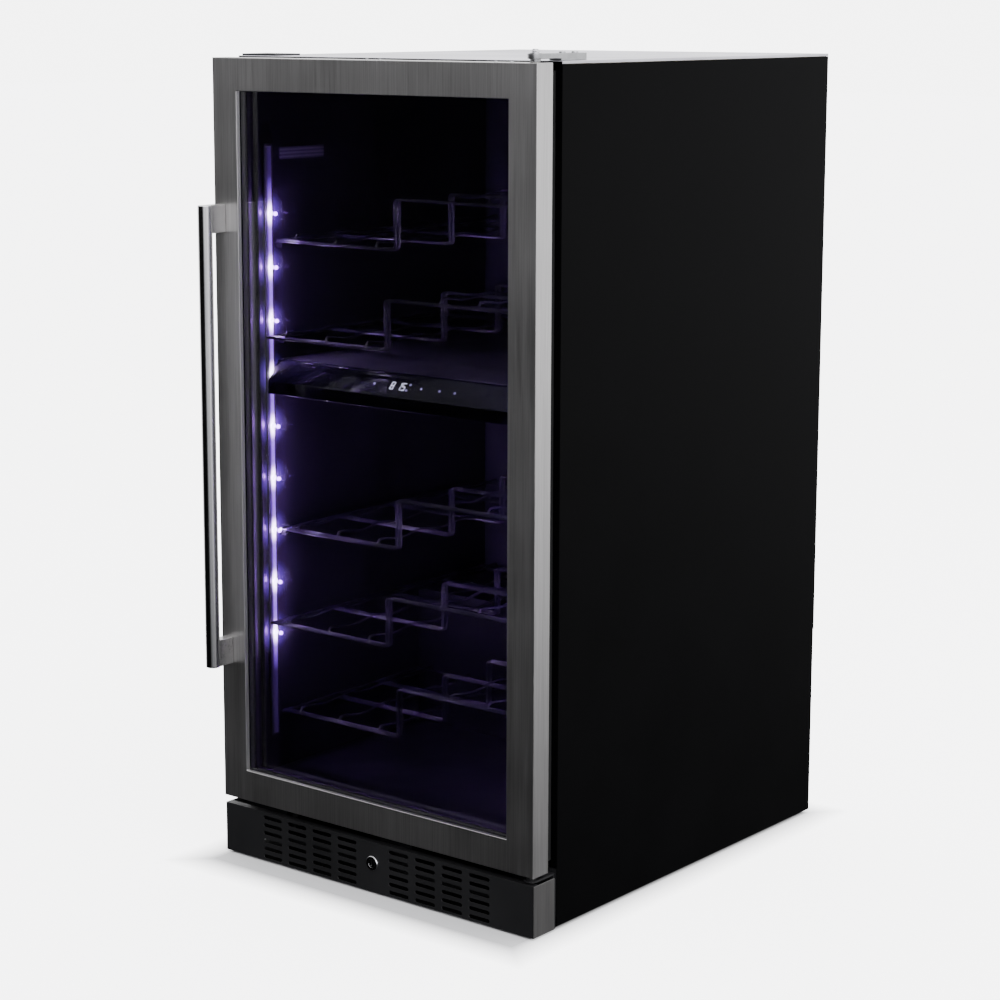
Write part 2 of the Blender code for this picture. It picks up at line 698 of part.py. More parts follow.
def rack(name, level, front):
    """Wire rack with a low left half and a high right half."""
    rear = rack_rear(level)
    first = FRONT_Y + front
    cross_wires = 4
    span = rear - WIRE - first
    paths = [stepped_path(first + span * i / (cross_wires - 1), level) for i in range(cross_wires)]
    made = wires(name, paths, WIRE / 2, 1, black_wire())
    end = LINER_HALF - RACK_SIDE_PLAY
    overlap = 0.0015
    rise = WIRE - overlap
    bearing_share = 0.31
    runs = []
    for start, stop, height in ((-end, RISER_X, level), (RISER_X, end, level + RACK_STEP)):
        outer = start if start < RISER_X else stop
        inward = 1 if outer < 0 else -1
        bearing = abs(stop - start) * bearing_share
        for i in range(3):
            x = outer + inward * (WIRE / 2 + bearing * i)
            runs.append([(x, first - WIRE / 2, height + rise), (x, rear - WIRE / 2, height + rise)])
    return fuse(made, wires("bearing_wires", runs, WIRE / 2, 1))


def led_strip(name, side):
    """Light strip on the liner's side wall, in front of the racks."""
    wall = side * (LINER_HALF - TOUCH_GAP)
    face = side * (LINER_HALF - TOUCH_GAP - LED_THICKNESS)
    shoulder = side * (LINER_HALF - TOUCH_GAP - LED_THICKNESS / 2)
    front = FRONT_Y + LED_FRONT
    rear = front + LED_WIDTH
    ease = LED_THICKNESS / 2
    outline = [
        (wall, front), (wall, rear), (shoulder, rear), (face, rear - ease),
        (face, front + ease), (shoulder, front),
    ]
    return prism(name, outline, "Z", LINER_FLOOR_Z + LED_BOTTOM, LINER_CEILING_Z - LED_TOP_GAP,
                 lamp_cover())


def duct_span(upper):
    """Lowest and highest points of the upper or the lower air duct."""
    if upper:
        return DIVIDER_TOP_Z + TOUCH_GAP, LINER_CEILING_Z - 0.003
    return STEP_Z + TOUCH_GAP, DIVIDER_LOW_Z - TOUCH_GAP


def fan_height(upper):
    return duct_span(upper)[1] - FAN_TOP_GAP - FAN_SIZE / 2


def air_duct(name, upper):
    """Cover over an evaporator, with a barred fan outlet and return slots."""
    low, high = duct_span(upper)
    half = LINER_HALF - 0.003
    rear = LINER_REAR_Y - TOUCH_GAP
    duct = block(name, (-half, DUCT_Y, low), (half, rear, high), black_plastic())
    cut(duct, block("hollow", (DUCT_SHEET - half, DUCT_Y + DUCT_SHEET, low + DUCT_SHEET),
                    (half - DUCT_SHEET, rear + CUT_OVERRUN, high - DUCT_SHEET)))
    outlet_radius = FAN_SIZE / 2 - 0.005
    bars = 7
    half_gap = 0.32           # half of a gap between bars, as a share of their pitch
    pitch = 2 * outlet_radius / bars
    openings = []
    for i in range(bars):
        middle = -outlet_radius + pitch * (i + 0.5)
        chord = math.sqrt(outlet_radius ** 2 - middle ** 2)
        z = fan_height(upper) + middle
        openings.append(((-chord, DUCT_Y - CUT_OVERRUN, z - pitch * half_gap),
                         (chord, DUCT_Y + DUCT_SHEET + CUT_OVERRUN, z + pitch * half_gap)))
    return_slots = 6
    margin = 0.04
    slot_low = low + 0.016
    slot_high = low + 0.024
    slot_pitch = 2 * (half - margin) / return_slots
    for i in range(return_slots):
        middle = -half + margin + slot_pitch * (i + 0.5)
        openings.append(((middle - slot_pitch * 0.4, DUCT_Y - CUT_OVERRUN, slot_low),
                         (middle + slot_pitch * 0.4, DUCT_Y + DUCT_SHEET + CUT_OVERRUN, slot_high)))
    return cut(duct, boxes("air_openings", openings))


def fin_coil(name, low, high, fins, rows, finish):
    """Heat exchanger: upright fins threaded on tubes that run from side to side."""
    fin_thickness = 0.0012
    length = high[0] - low[0]
    corners = []
    for i in range(fins):
        x = low[0] + (length - fin_thickness) * i / (fins - 1)
        corners.append(((x, low[1], low[2]), (x + fin_thickness, high[1], high[2])))
    made = boxes(name, corners, finish)
    tube_radius = 0.004
    y = (low[1] + high[1]) / 2
    paths = []
    for i in range(rows):
        z = low[2] + (high[2] - low[2]) * (i + 0.5) / rows
        paths.append([(low[0] + fin_thickness / 2, y, z), (high[0] - fin_thickness / 2, y, z)])
    return fuse(made, wires("tubes", paths, tube_radius, 1))


def evaporator(name, upper):
    """Cold coil inside a duct, below its fan."""
    low, _ = duct_span(upper)
    fan_low = fan_height(upper) - FAN_SIZE / 2
    rear = LINER_REAR_Y - EVAPORATOR_REAR_GAP
    return fin_coil(name, (-EVAPORATOR_HALF, rear - EVAPORATOR_DEPTH, low + EVAPORATOR_LIFT),
                    (EVAPORATOR_HALF, rear, fan_low - EVAPORATOR_FAN_GAP), 8, 2, aluminium())


def fan_frame(name, size, centre, turn):
    """Square fan housing with a round throat and a cross that carries the motor.

    It is modelled with its axis along Y and its mouth at the front, then turned.
    """
    half = size / 2
    throat = half - 0.003
    frame = block(name, (-half, 0, -half), (half, FAN_DEPTH, half), black_plastic())
    frame.location = (0, 0, 0)
    frame.data.transform(Matrix.Translation((0, FAN_DEPTH / 2, 0)))
    hole = turned("throat", [(0, -CUT_OVERRUN), (throat, -CUT_OVERRUN),
                             (throat, FAN_DEPTH + CUT_OVERRUN), (0, FAN_DEPTH + CUT_OVERRUN)], 20)
    hole.data.transform(Matrix.Rotation(math.radians(-90), 4, "X"))
    hole.data.update()
    cut(frame, hole)
    arm = 0.003
    reach = half - 0.001
    rear = FAN_DEPTH - 0.0005
    cross = boxes("motor_cross", [((-reach, rear - 0.004, -arm), (reach, rear, arm)),
                                  ((-arm, rear - 0.0037, -reach), (arm, rear - 0.0003, reach))])
    fuse(cross, block("motor_plate", (-size * 0.16, rear - 0.0045, -size * 0.16),
                      (size * 0.16, rear - 0.0007, size * 0.16)))
    fuse(frame, cross)
    place = Matrix.Translation(centre) @ Matrix.Rotation(turn, 4, "Z")
    for piece in (frame, hole, cross, cross.modifiers[0].object):
        piece.matrix_basis = place @ piece.matrix_basis
    return frame


def fan_rotor(name, size, centre, turn):
    """Hub with slanted blades. Its origin is on its axis."""
    tip = size / 2 - 0.003 - FAN_TIP_PLAY
    hub_radius = size * 0.17
    front = 0.003
    rear = FAN_DEPTH - 0.0075
    hub = turned(name, [(0, front), (hub_radius * 0.85, front), (hub_radius, front + 0.003),
                        (hub_radius, rear), (0, rear)], 14, black_plastic())
    hub.data.transform(Matrix.Rotation(math.radians(-90), 4, "X"))
    blade_count = 7
    pitch_angle = math.radians(34)
    chord = (rear - front) * 0.92 / math.sin(pitch_angle)
    root = hub_radius * 0.88
    bm = bmesh.new()
    for i in range(blade_count):
        spoke = Matrix.Rotation(math.tau * i / blade_count, 4, "Y")
        slant = Matrix.Rotation(pitch_angle, 4, "Z")
        middle = Matrix.Translation((0, (front + rear) / 2, (root + tip * 0.96) / 2))
        size_matrix = Matrix.Diagonal((min(chord, hub_radius * 1.4), 0.0016, tip * 0.96 - root, 1.0))
        bmesh.ops.create_cube(bm, size=1.0, matrix=spoke @ middle @ slant @ size_matrix)
    blades = new_object("blades", mesh_from("blades", bm), None)
    fuse(hub, blades)
    for piece in (hub, blades):
        piece.matrix_basis = Matrix.Translation(centre) @ Matrix.Rotation(turn, 4, "Z")
    return hub


def duct_fan(place, upper):
    """Frame and rotor of a cold room fan, close behind its outlet."""
    centre = Vector((0, DUCT_Y + DUCT_SHEET + TOUCH_GAP, fan_height(upper)))
    fan_frame(f"fan_frame_{place}", FAN_SIZE, centre, 0)
    fan_rotor(f"fan_rotor_{place}", FAN_SIZE, centre, 0)


# ---- machine compartment -------------------------------------------------------
def compressor():
    """Hermetic compressor can on its base plate, with a terminal box."""
    r = COMPRESSOR_RADIUS
    seat = 0.012
    h = COMPRESSOR_HEIGHT
    profile = [(0, seat), (r * 0.86, seat), (r, seat + 0.014), (r, h * 0.58), (r * 0.95, h * 0.72),
               (r * 0.78, h * 0.88), (r * 0.42, h * 0.98), (0, h)]
    can = turned("compressor", profile, 20, black_paint())
    can.data.transform(Matrix.Diagonal((1.0, COMPRESSOR_SQUASH, 1.0, 1.0)))
    can.location = (COMPRESSOR_X, COMPRESSOR_Y, MACHINE_FLOOR_Z)
    plate_half = r * 1.12
    plate_depth = r * 0.78
    foot = 0.011
    corners = [((-plate_half, -plate_depth, seat - 0.003), (plate_half, plate_depth, seat + 0.001))]
    base = boxes("base_plate", corners)
    feet = []
    for sx in (-1, 1):
        for sy in (-1, 1):
            x = sx * (plate_half - foot)
            y = sy * (plate_depth - foot)
            feet.append(((x - foot * 0.8, y - foot * 0.8, 0),
                         (x + foot * 0.8, y + foot * 0.8, seat - 0.002)))
    fuse(base, boxes("grommets", feet))
    terminal = boxes("terminal_box", [((r * 0.8, -0.022, h * 0.30), (r + 0.026, 0.022, h * 0.62))])
    for helper in (base, base.modifiers[0].object, terminal):
        helper.location = can.location
    fuse(can, base)
    return fuse(can, terminal)


def condenser():
    """Hot coil beside the left wall."""
    low = (CONDENSER_LEFT, CONDENSER_FRONT_Y, CONDENSER_LOW_Z)
    high = (CONDENSER_RIGHT, CONDENSER_FRONT_Y + CONDENSER_DEPTH, CONDENSER_LOW_Z + CONDENSER_HEIGHT)
    return fin_coil("condenser", low, high, 9, 3, aluminium())


def condenser_fan():
    """Fan between the condenser and the compressor, blowing to the right."""
    z = MACHINE_FLOOR_Z + CONDENSER_FAN_SIZE / 2
    centre = Vector((CONDENSER_FAN_X, CONDENSER_FAN_Y, z))
    quarter_turn = math.radians(-90)
    fan_frame("condenser_fan_frame", CONDENSER_FAN_SIZE, centre, quarter_turn)
    fan_rotor("condenser_fan_rotor", CONDENSER_FAN_SIZE, centre, quarter_turn)


def condensate_tray():
    """Open pan over the compressor, where melt water dries off."""
    low_z = COMPRESSOR_TOP_Z + TOUCH_GAP
    half_x = 0.062
    half_y = 0.055
    height = 0.024
    wall = 0.002
    tray = block("condensate_tray",
                 (COMPRESSOR_X - half_x, COMPRESSOR_Y - half_y, low_z),
                 (COMPRESSOR_X + half_x, COMPRESSOR_Y + half_y, low_z + height), black_plastic())
    hollow = block("hollow",
                   (COMPRESSOR_X - half_x + wall, COMPRESSOR_Y - half_y + wall, low_z + wall),
                   (COMPRESSOR_X + half_x - wall, COMPRESSOR_Y + half_y - wall,
                    low_z + height + CUT_OVERRUN))
    return cut(tray, hollow)


def power_board():
    """Control and supply box above the condenser."""
    low_z = CONDENSER_LOW_Z + CONDENSER_HEIGHT + 0.018
    left = CONDENSER_LEFT + 0.010
    width = 0.140
    depth = 0.110
    height = 0.048
    box = block("power_board", (left, CONDENSER_FRONT_Y, low_z),
                (left + width, CONDENSER_FRONT_Y + depth, low_z + height), black_plastic())
    return bevel(box, 0.003)


def discharge_line():
    """Hot gas pipe from the back of the compressor to the condenser."""
    start_y = COMPRESSOR_Y + COMPRESSOR_RADIUS * COMPRESSOR_SQUASH + TOUCH_GAP
    run_y = start_y + 0.016
    z = MACHINE_FLOOR_Z + 0.075
    end_x = CONDENSER_RIGHT + TOUCH_GAP
    turn_x = end_x + 0.012
    end_y = CONDENSER_FRONT_Y + CONDENSER_DEPTH - 0.020
    path = [(COMPRESSOR_X, start_y, z), (COMPRESSOR_X, run_y - 0.005, z),
            (COMPRESSOR_X - 0.005, run_y, z), (turn_x + 0.006, run_y, z),
            (turn_x, run_y - 0.006, z), (turn_x, end_y + 0.005, z),
            (turn_x - 0.005, end_y, z), (end_x, end_y, z)]
    return wires("discharge_line", [path], PIPE_RADIUS, 1, copper())


def suction_line():
    """Cold gas pipe from the insulation down to the left of the compressor."""
    x = COMPRESSOR_X - COMPRESSOR_RADIUS - TOUCH_GAP
    z = MACHINE_FLOOR_Z + 0.080
    bend = 0.008
    drop_x = x - 0.022
    path = [(x, COMPRESSOR_Y, z), (drop_x + bend, COMPRESSOR_Y, z),
            (drop_x + bend * 0.3, COMPRESSOR_Y, z + bend * 0.3), (drop_x, COMPRESSOR_Y, z + bend),
            (drop_x, COMPRESSOR_Y, PIPE_CEILING_Z)]
    return wires("suction_line", [path], PIPE_RADIUS * 1.3, 1, copper())


def liquid_line():
    """Pipe from the condenser through the filter drier and up into the insulation."""
    start_x = CONDENSER_RIGHT + TOUCH_GAP
    rise_x = start_x + 0.012
    start_y = CONDENSER_FRONT_Y + 0.010
    rise_y = CONDENSER_FRONT_Y - 0.012
    z = CONDENSER_LOW_Z + 0.020
    path = [(start_x, start_y, z), (rise_x - 0.004, start_y, z), (rise_x, start_y - 0.004, z),
            (rise_x, rise_y + 0.005, z), (rise_x, rise_y, z + 0.005), (rise_x, rise_y, PIPE_CEILING_Z)]
    line = wires("liquid_line", [path], PIPE_RADIUS * 0.8, 1, copper())
    r = DRIER_RADIUS
    drier = turned("drier", [(0, 0), (r * 0.4, 0.001), (r, 0.010), (r, 0.072), (r * 0.4, 0.081),
                             (0, 0.082)], 12)
    drier.location = (rise_x, rise_y, z + 0.045)
    return fuse(line, drier)


def rear_cover():
    """Vented sheet over the machine compartment."""
    low = (0.002 - HALF_WIDTH, FLANGE_REAR_Y + TOUCH_GAP, TRAY_LIFT + 0.002)
    high = (HALF_WIDTH - 0.002, REAR_Y - TOUCH_GAP, MACHINE_HEIGHT - BACK_OVERLAP - 2 * TOUCH_GAP)
    cover = block("rear_cover", low, high, zinc_plate())
    vents = []
    rows = 9
    row_pitch = 0.020
    half_vent = (HALF_WIDTH - 0.0975) / 2
    for row in range(rows):
        z = low[2] + 0.035 + row_pitch * row
        for side in (-1, 1):
            middle = side * (half_vent + 0.025)
            vents.append(((middle - half_vent, low[1] - CUT_OVERRUN, z),
                          (middle + half_vent, high[1] + CUT_OVERRUN, z + 0.006)))
    cut(cover, boxes("vents", vents))
    play = TOUCH_GAP
    return cut(cover, block(
        "inlet_cutout",
        (INLET_X - INLET_HALF_X - play, low[1] - CUT_OVERRUN, INLET_Z - INLET_HALF_Z - play),
        (INLET_X + INLET_HALF_X + play, high[1] + CUT_OVERRUN, INLET_Z + INLET_HALF_Z + play)))


def power_inlet():
    """Appliance inlet with three pins in its recess."""
    face = REAR_Y - TOUCH_GAP / 2
    flange_y = FLANGE_REAR_Y
    body = block("power_inlet", (INLET_X - INLET_HALF_X, face - 0.026, INLET_Z - INLET_HALF_Z),
                 (INLET_X + INLET_HALF_X, face, INLET_Z + INLET_HALF_Z), black_plastic())
    fuse(body, block("flange", (INLET_X - INLET_HALF_X - 0.007, flange_y - 0.003, INLET_Z - 0.016),
                     (INLET_X + INLET_HALF_X + 0.007, flange_y, INLET_Z + 0.016)))
    cut(body, block("recess", (INLET_X - 0.012, face - 0.016, INLET_Z - 0.008),
                    (INLET_X + 0.012, face + CUT_OVERRUN, INLET_Z + 0.008)))
    pins = []
    for dx, dz in ((-0.007, -0.002), (0.0, 0.002), (0.007, -0.002)):
        x = INLET_X + dx
        z = INLET_Z + dz
        pins.append(((x - 0.001, face - 0.020, z - 0.002), (x + 0.001, face - 0.004, z + 0.002)))
    return fuse(body, boxes("pins", pins))


# ---- kick plate, lock and feet -------------------------------------------------
def slot_outline(centre_x, centre_z):
    """Slot with round ends."""
    r = SLOT_HEIGHT / 2
    reach = SLOT_LENGTH / 2 - r
    end_steps = 4
    points = arc((centre_x + reach, centre_z), r, -90, 90, end_steps)
    return points + arc((centre_x - reach, centre_z), r, 90, 270, end_steps)


def kick_slots():
    """All the air slots of the kick plate as one cutting shape."""
    bm = bmesh.new()
    middle_z = KICK_LIFT + KICK_HEIGHT / 2 - 0.0009
    for side in (-1, 1):
        for column in range(SLOT_COLUMNS):
            for row in range(SLOT_ROWS):
                x = side * SLOT_COLUMN_PITCH * (column + 1)
                z = middle_z + SLOT_ROW_PITCH * (row - (SLOT_ROWS - 1) / 2)
                front = KICK_FRONT_Y - CUT_OVERRUN
                face = bm.faces.new([bm.verts.new((px, front, pz)) for px, pz in slot_outline(x, z)])
                grown = bmesh.ops.extrude_face_region(bm, geom=[face])["geom"]
                moved = [item for item in grown if isinstance(item, bmesh.types.BMVert)]
                bmesh.ops.translate(bm, vec=(0, KICK_SHEET + 2 * CUT_OVERRUN, 0), verts=moved)
    return new_object("slots", mesh_from("slots", bm), None)


def kick_grille():
    """Slotted kick plate, folded back at the top and the sides."""
    half = HALF_WIDTH - KICK_SHEET - TOUCH_GAP
    rear = FRONT_Y - 2 * TOUCH_GAP
    plate = block("kick_grille", (-half, KICK_FRONT_Y, KICK_LIFT), (half, rear, KICK_TOP_Z),
                  black_paint())
    t = KICK_SHEET
    side_top = KICK_TOP_Z - t
    cut(plate, block("hollow", (t - half, KICK_FRONT_Y + t, KICK_LIFT - CUT_OVERRUN),
                     (half - t, rear + CUT_OVERRUN, side_top)))
    cut(plate, block("open_top", (-half - CUT_OVERRUN, KICK_FRONT_Y + KICK_TOP_FLANGE,
                                  side_top - CUT_OVERRUN),
                     (half + CUT_OVERRUN, rear + CUT_OVERRUN, KICK_TOP_Z + CUT_OVERRUN)))
    cut(plate, kick_slots())
    hole = turned("lock_hole", [(0, -CUT_OVERRUN), (LOCK_BARREL_RADIUS + TOUCH_GAP, -CUT_OVERRUN),
                                (LOCK_BARREL_RADIUS + TOUCH_GAP, t + CUT_OVERRUN),
                                (0, t + CUT_OVERRUN)], 16)
    hole.rotation_euler = (math.radians(-90), 0, 0)
    hole.location = (0, KICK_FRONT_Y, LOCK_Z)
    return cut(plate, hole)


def kick_end(name, side):
    """Brushed steel plate on the end of the kick plate."""
    ends = sorted((side * HALF_WIDTH, side * (HALF_WIDTH - KICK_SHEET)))
    plate = block(name, (ends[0], KICK_FRONT_Y, KICK_LIFT),
                  (ends[1], KICK_FRONT_Y + KICK_SIDE_DEPTH, KICK_TOP_Z), brushed_steel())
    return bevel(plate, 0.0003)


def lock_barrel():
    """Fixed barrel of the lock with its ring."""
    bore = LOCK_PLUG_RADIUS + TURNING_GAP
    length = LOCK_BARREL_LENGTH
    ring = KICK_FRONT_Y - LOCK_FRONT_Y - TOUCH_GAP
    profile = [(bore, 0), (LOCK_RING_RADIUS - 0.0008, 0), (LOCK_RING_RADIUS, 0.0008),
               (LOCK_RING_RADIUS, ring), (LOCK_BARREL_RADIUS, ring),
               (LOCK_BARREL_RADIUS, length), (bore, length)]
    barrel = turned("lock_barrel", profile, 20, polished_steel(), closed=True)
    barrel.rotation_euler = (math.radians(-90), 0, 0)
    barrel.location = (0, LOCK_FRONT_Y, LOCK_Z)
    return barrel


def lock_cylinder():
    """Key plug with the cam on its back end. Its origin is on its axis."""
    reach = CAM_Y + CAM_THICKNESS - LOCK_FRONT_Y
    plug = turned("lock_cylinder", [(0, 0.0004), (LOCK_PLUG_RADIUS, 0.0004),
                                    (LOCK_PLUG_RADIUS, reach), (0, reach)], 16, polished_steel())
    plug.rotation_euler = (math.radians(-90), 0, 0)
    plug.location = (0, LOCK_FRONT_Y, LOCK_Z)
    overlap = 0.0002
    cam = block("cam", (-CAM_LENGTH, CAM_Y, LOCK_Z - CAM_WIDTH / 2),
                (LOCK_PLUG_RADIUS * 0.9, CAM_Y + CAM_THICKNESS + overlap, LOCK_Z + CAM_WIDTH / 2))
    fuse(plug, cam)
    keyhole = block("keyhole", (-0.0008, LOCK_FRONT_Y - CUT_OVERRUN, LOCK_Z - 0.0035),
                    (0.0008, LOCK_FRONT_Y + 0.005, LOCK_Z + 0.0035))
    return cut(plug, keyhole)


def foot(name, place):
    """Levelling foot: a round pad with a threaded stud through the base tray."""
    seat = TRAY_LIFT - TOUCH_GAP
    profile = [(0, 0), (FOOT_RADIUS - 0.001, 0), (FOOT_RADIUS, 0.0015), (FOOT_RADIUS, 0.007),
               (0.011, 0.010), (0.011, seat), (STUD_RADIUS, seat),
               (STUD_RADIUS, FOOT_STUD_TOP), (0, FOOT_STUD_TOP)]
    made = turned(name, profile, 16, rubber())
    made.location = (*place, 0)
    return made


# ---- hinges --------------------------------------------------------------------
def hinge_outline(rear_y):
    """Plan of a hinge arm: straight, with a round end about the pin."""
    half = HINGE_BAR_WIDTH / 2
    points = arc((HINGE_X, HINGE_Y), half, 180, 360, 8)
    return points + [(HINGE_X + half, rear_y), (HINGE_X - half, rear_y)]


def hinge_top():
    """Top hinge: bar on the cabinet's top, with the pin and its washer."""
    bar_low = CABINET_TOP_Z + HINGE_BAR_LIFT
    rear = FRONT_Y + HINGE_PLATE_LENGTH
    bar = prism("hinge_top", hinge_outline(rear), "Z", bar_low, bar_low + HINGE_BAR_HEIGHT,
                zinc_plate())
    half = HINGE_BAR_WIDTH / 2
    seat = block("seat", (HINGE_X - half, FRONT_Y + 0.003, CABINET_TOP_Z + TOUCH_GAP),
                 (HINGE_X + half, rear, bar_low + 0.001))
    fuse(bar, seat)
    washer_low = DOOR_TOP_Z + 0.0012
    tip = DOOR_TOP_Z - PIN_REACH
    pin = turned("pin", [(0, tip), (PIN_RADIUS, tip), (PIN_RADIUS, washer_low),
                         (PIN_RADIUS * 1.8, washer_low), (PIN_RADIUS * 1.8, bar_low + 0.001),
                         (0, bar_low + 0.001)], 16)
    pin.location = (HINGE_X, HINGE_Y, 0)
    return fuse(bar, pin)


def hinge_bottom():
    """Bottom hinge: arm under the door with a flange against the base, and the pin."""
    plate = 0.003
    arm_top = (KICK_TOP_Z + DOOR_LOW_Z) / 2 - 0.0005
    arm = prism("hinge_bottom", hinge_outline(FRONT_Y - TOUCH_GAP), "Z", arm_top - plate, arm_top,
                black_paint())
    half = HINGE_BAR_WIDTH / 2
    fuse(arm, block("flange", (HINGE_X - half, FRONT_Y - TOUCH_GAP - plate, TRAY_LIFT + 0.012),
                    (HINGE_X + half, FRONT_Y - TOUCH_GAP - 0.0002, arm_top - 0.001)))
    washer_top = DOOR_LOW_Z - 0.0012
    tip = DOOR_LOW_Z + PIN_REACH
    pin = turned("pin", [(0, arm_top - 0.001), (PIN_RADIUS * 1.8, arm_top - 0.001),
                         (PIN_RADIUS * 1.8, washer_top), (PIN_RADIUS, washer_top),
                         (PIN_RADIUS, tip), (0, tip)], 16)
    pin.location = (HINGE_X, HINGE_Y, 0)
    return fuse(arm, pin)


# ---- door ----------------------------------------------------------------------
def door_ring(name, profile, finish):
    return rect_ring(name, profile, HALF_WIDTH, DOOR_LOW_Z, DOOR_TOP_Z, DOOR_FRONT_Y, finish)


def bushing_hole(target, top):
    """Bore a hole in the door's edge for a hinge bushing."""
    depth = PIN_REACH + 2 * TOUCH_GAP + 0.001
    edge = DOOR_TOP_Z if top else DOOR_LOW_Z
    low, high = (edge - depth, edge + CUT_OVERRUN) if top else (edge - CUT_OVERRUN, edge + depth)
    hole = rod("hole", (HINGE_X, HINGE_Y), BUSHING_RADIUS + TOUCH_GAP, low, high, 18)
    return cut(target, hole)


def cam_slot(target):
    """Slot in the bottom of the door that the lock's cam swings into."""
    height = DOOR_LOW_Z - LOCK_Z
    entry = math.sqrt(CAM_LENGTH ** 2 - height ** 2)
    half = CAM_WIDTH / 2
    tip_rise = math.hypot(CAM_LENGTH, half) - height
    play = CAM_SLOT_PLAY
    return cut(target, block(
        "cam_slot", (-entry - half - play, CAM_Y - play, DOOR_LOW_Z - CUT_OVERRUN),
        (half + play, CAM_Y + CAM_THICKNESS + play, DOOR_LOW_Z + tip_rise + play)))


def door_frame():
    """Brushed steel frame: face, outer edge and the turned-in edge round the glass."""
    b = DOOR_BORDER
    t = DOOR_SKIN
    r = EDGE_RADIUS
    rear = DOOR_THICKNESS - 0.001
    soft = 0.0006
    profile = [(0, rear), (0, r), (r * 0.29, r * 0.29), (r, 0), (b - soft, 0), (b, soft),
               (b, INNER_RETURN), (b - t, INNER_RETURN), (b - t, t), (t, t), (t, rear)]
    frame = door_ring("door_frame", profile, brushed_steel())
    bushing_hole(frame, True)
    bushing_hole(frame, False)
    return cam_slot(frame)


def door_core():
    """Black plastic frame inside the steel: it holds the panes and the gasket."""
    b = DOOR_BORDER
    shell = DOOR_SKIN + TOUCH_GAP
    rear = DOOR_THICKNESS
    pane_edge = PANE_EDGE - TOUCH_GAP
    pane_rear = PANES_REAR + TOUCH_GAP
    groove = rear - GROOVE_DEPTH
    profile = [
        (shell, shell), (b - shell, shell), (b - shell, PANE_FRONT - TOUCH_GAP),
        (pane_edge, PANE_FRONT - TOUCH_GAP), (pane_edge, pane_rear), (b - 0.0005, pane_rear),
        (b - 0.0005, rear - 0.002), (b - 0.0025, rear), (GROOVE_HIGH, rear), (GROOVE_HIGH, groove),
        (GROOVE_LOW, groove), (GROOVE_LOW, rear), (shell, rear),
    ]
    core = door_ring("door_core", profile, black_plastic())
    bushing_hole(core, True)
    bushing_hole(core, False)
    return cam_slot(core)


def pane(name, front):
    """One sheet of glass, a little larger than the opening."""
    low = (PANE_EDGE - HALF_WIDTH, DOOR_FRONT_Y + front, DOOR_LOW_Z + PANE_EDGE)
    high = (HALF_WIDTH - PANE_EDGE, DOOR_FRONT_Y + front + PANE, DOOR_TOP_Z - PANE_EDGE)
    return block(name, low, high, clear_glass())


def glass_spacer():
    """Bar between the two panes, hidden by the frame's border."""
    front = PANE_FRONT + PANE + TOUCH_GAP
    rear = PANE_FRONT + PANE + PANE_SPACE - TOUCH_GAP
    inner = PANE_EDGE + 0.008
    outer = PANE_EDGE + 0.001
    return door_ring("glass_spacer", [(outer, front), (inner, front), (inner, rear), (outer, rear)],
                     black_plastic())


def door_gasket():
    """Magnetic bellows gasket, anchored in the core's groove."""
    g = TOUCH_GAP
    back = DOOR_THICKNESS + g
    face = DOOR_THICKNESS + GASKET_GAP - g
    anchor = DOOR_THICKNESS - GROOVE_DEPTH + g
    bellows = face - back
    outer = 0.0110
    inner = 0.0310
    profile = [
        (outer + 0.002, back), (GROOVE_LOW + g, back), (GROOVE_LOW + g, anchor),
        (GROOVE_HIGH - g, anchor), (GROOVE_HIGH - g, back), (inner - 0.002, back),
        (inner, back + bellows * 0.22), (inner - 0.003, back + bellows * 0.42),
        (inner, back + bellows * 0.66), (inner, face), (outer, face),
        (outer, back + bellows * 0.66), (outer + 0.003, back + bellows * 0.42),
        (outer, back + bellows * 0.22),
    ]
    return door_ring("door_gasket", profile, rubber())


def door_bushing(name, top):
    """Nylon bushing that the hinge pin turns in."""
    bore = PIN_RADIUS + TURNING_GAP
    depth = PIN_REACH + 2 * TOUCH_GAP
    proud = 0.0006
    profile = [(bore, -depth), (BUSHING_RADIUS, -depth), (BUSHING_RADIUS, proud), (bore, proud)]
    made = turned(name, profile, 18, black_plastic(), closed=True)
    if top:
        made.location = (HINGE_X, HINGE_Y, DOOR_TOP_Z)
    else:
        made.rotation_euler = (math.radians(180), 0, 0)
        made.location = (HINGE_X, HINGE_Y, DOOR_LOW_Z)
    return made


def handle_axis():
    """Plan position of the handle tube and the heights of its two ends."""
    middle = (DOOR_LOW_Z + DOOR_TOP_Z) / 2
    x = HANDLE_INSET - HALF_WIDTH
    y = DOOR_FRONT_Y - HANDLE_STANDOFF
    return x, y, middle - HANDLE_LENGTH / 2, middle + HANDLE_LENGTH / 2


def handle_tube():
    """Upright round bar of the handle."""
    x, y, low, high = handle_axis()
    r = HANDLE_DIAMETER / 2
    e = SOFT_EDGE
    profile = [(0, low), (r - e, low), (r, low + e), (r, high - e), (r - e, high), (0, high)]
    tube = turned("handle_tube", profile, 32, polished_steel())
    tube.location = (x, y, 0)
    return tube


def handle_post(name, top):
    """Rectangular post that carries one end of the handle tube."""
    x, y, low, high = handle_axis()
    base = high - POST_HEIGHT if top else low
    post = block(name, (x - POST_WIDTH / 2, y, base),
                 (x + POST_WIDTH / 2, DOOR_FRONT_Y - TOUCH_GAP, base + POST_HEIGHT), brushed_steel())
    bevel(post, SOFT_EDGE)
    seat = rod("tube_seat", (x, y), HANDLE_DIAMETER / 2 + TOUCH_GAP, low - CUT_OVERRUN,
               high + CUT_OVERRUN, 32)
    return cut(post, seat)


# ---- assembly ------------------------------------------------------------------
def build_shell():
    side_panel("side_panel_left", -1)
    side_panel("side_panel_right", 1)
    top_panel()
    back_panel()
    base_tray()
    bulkhead()
    foam_insulation()
    inner_liner()
    front_frame()


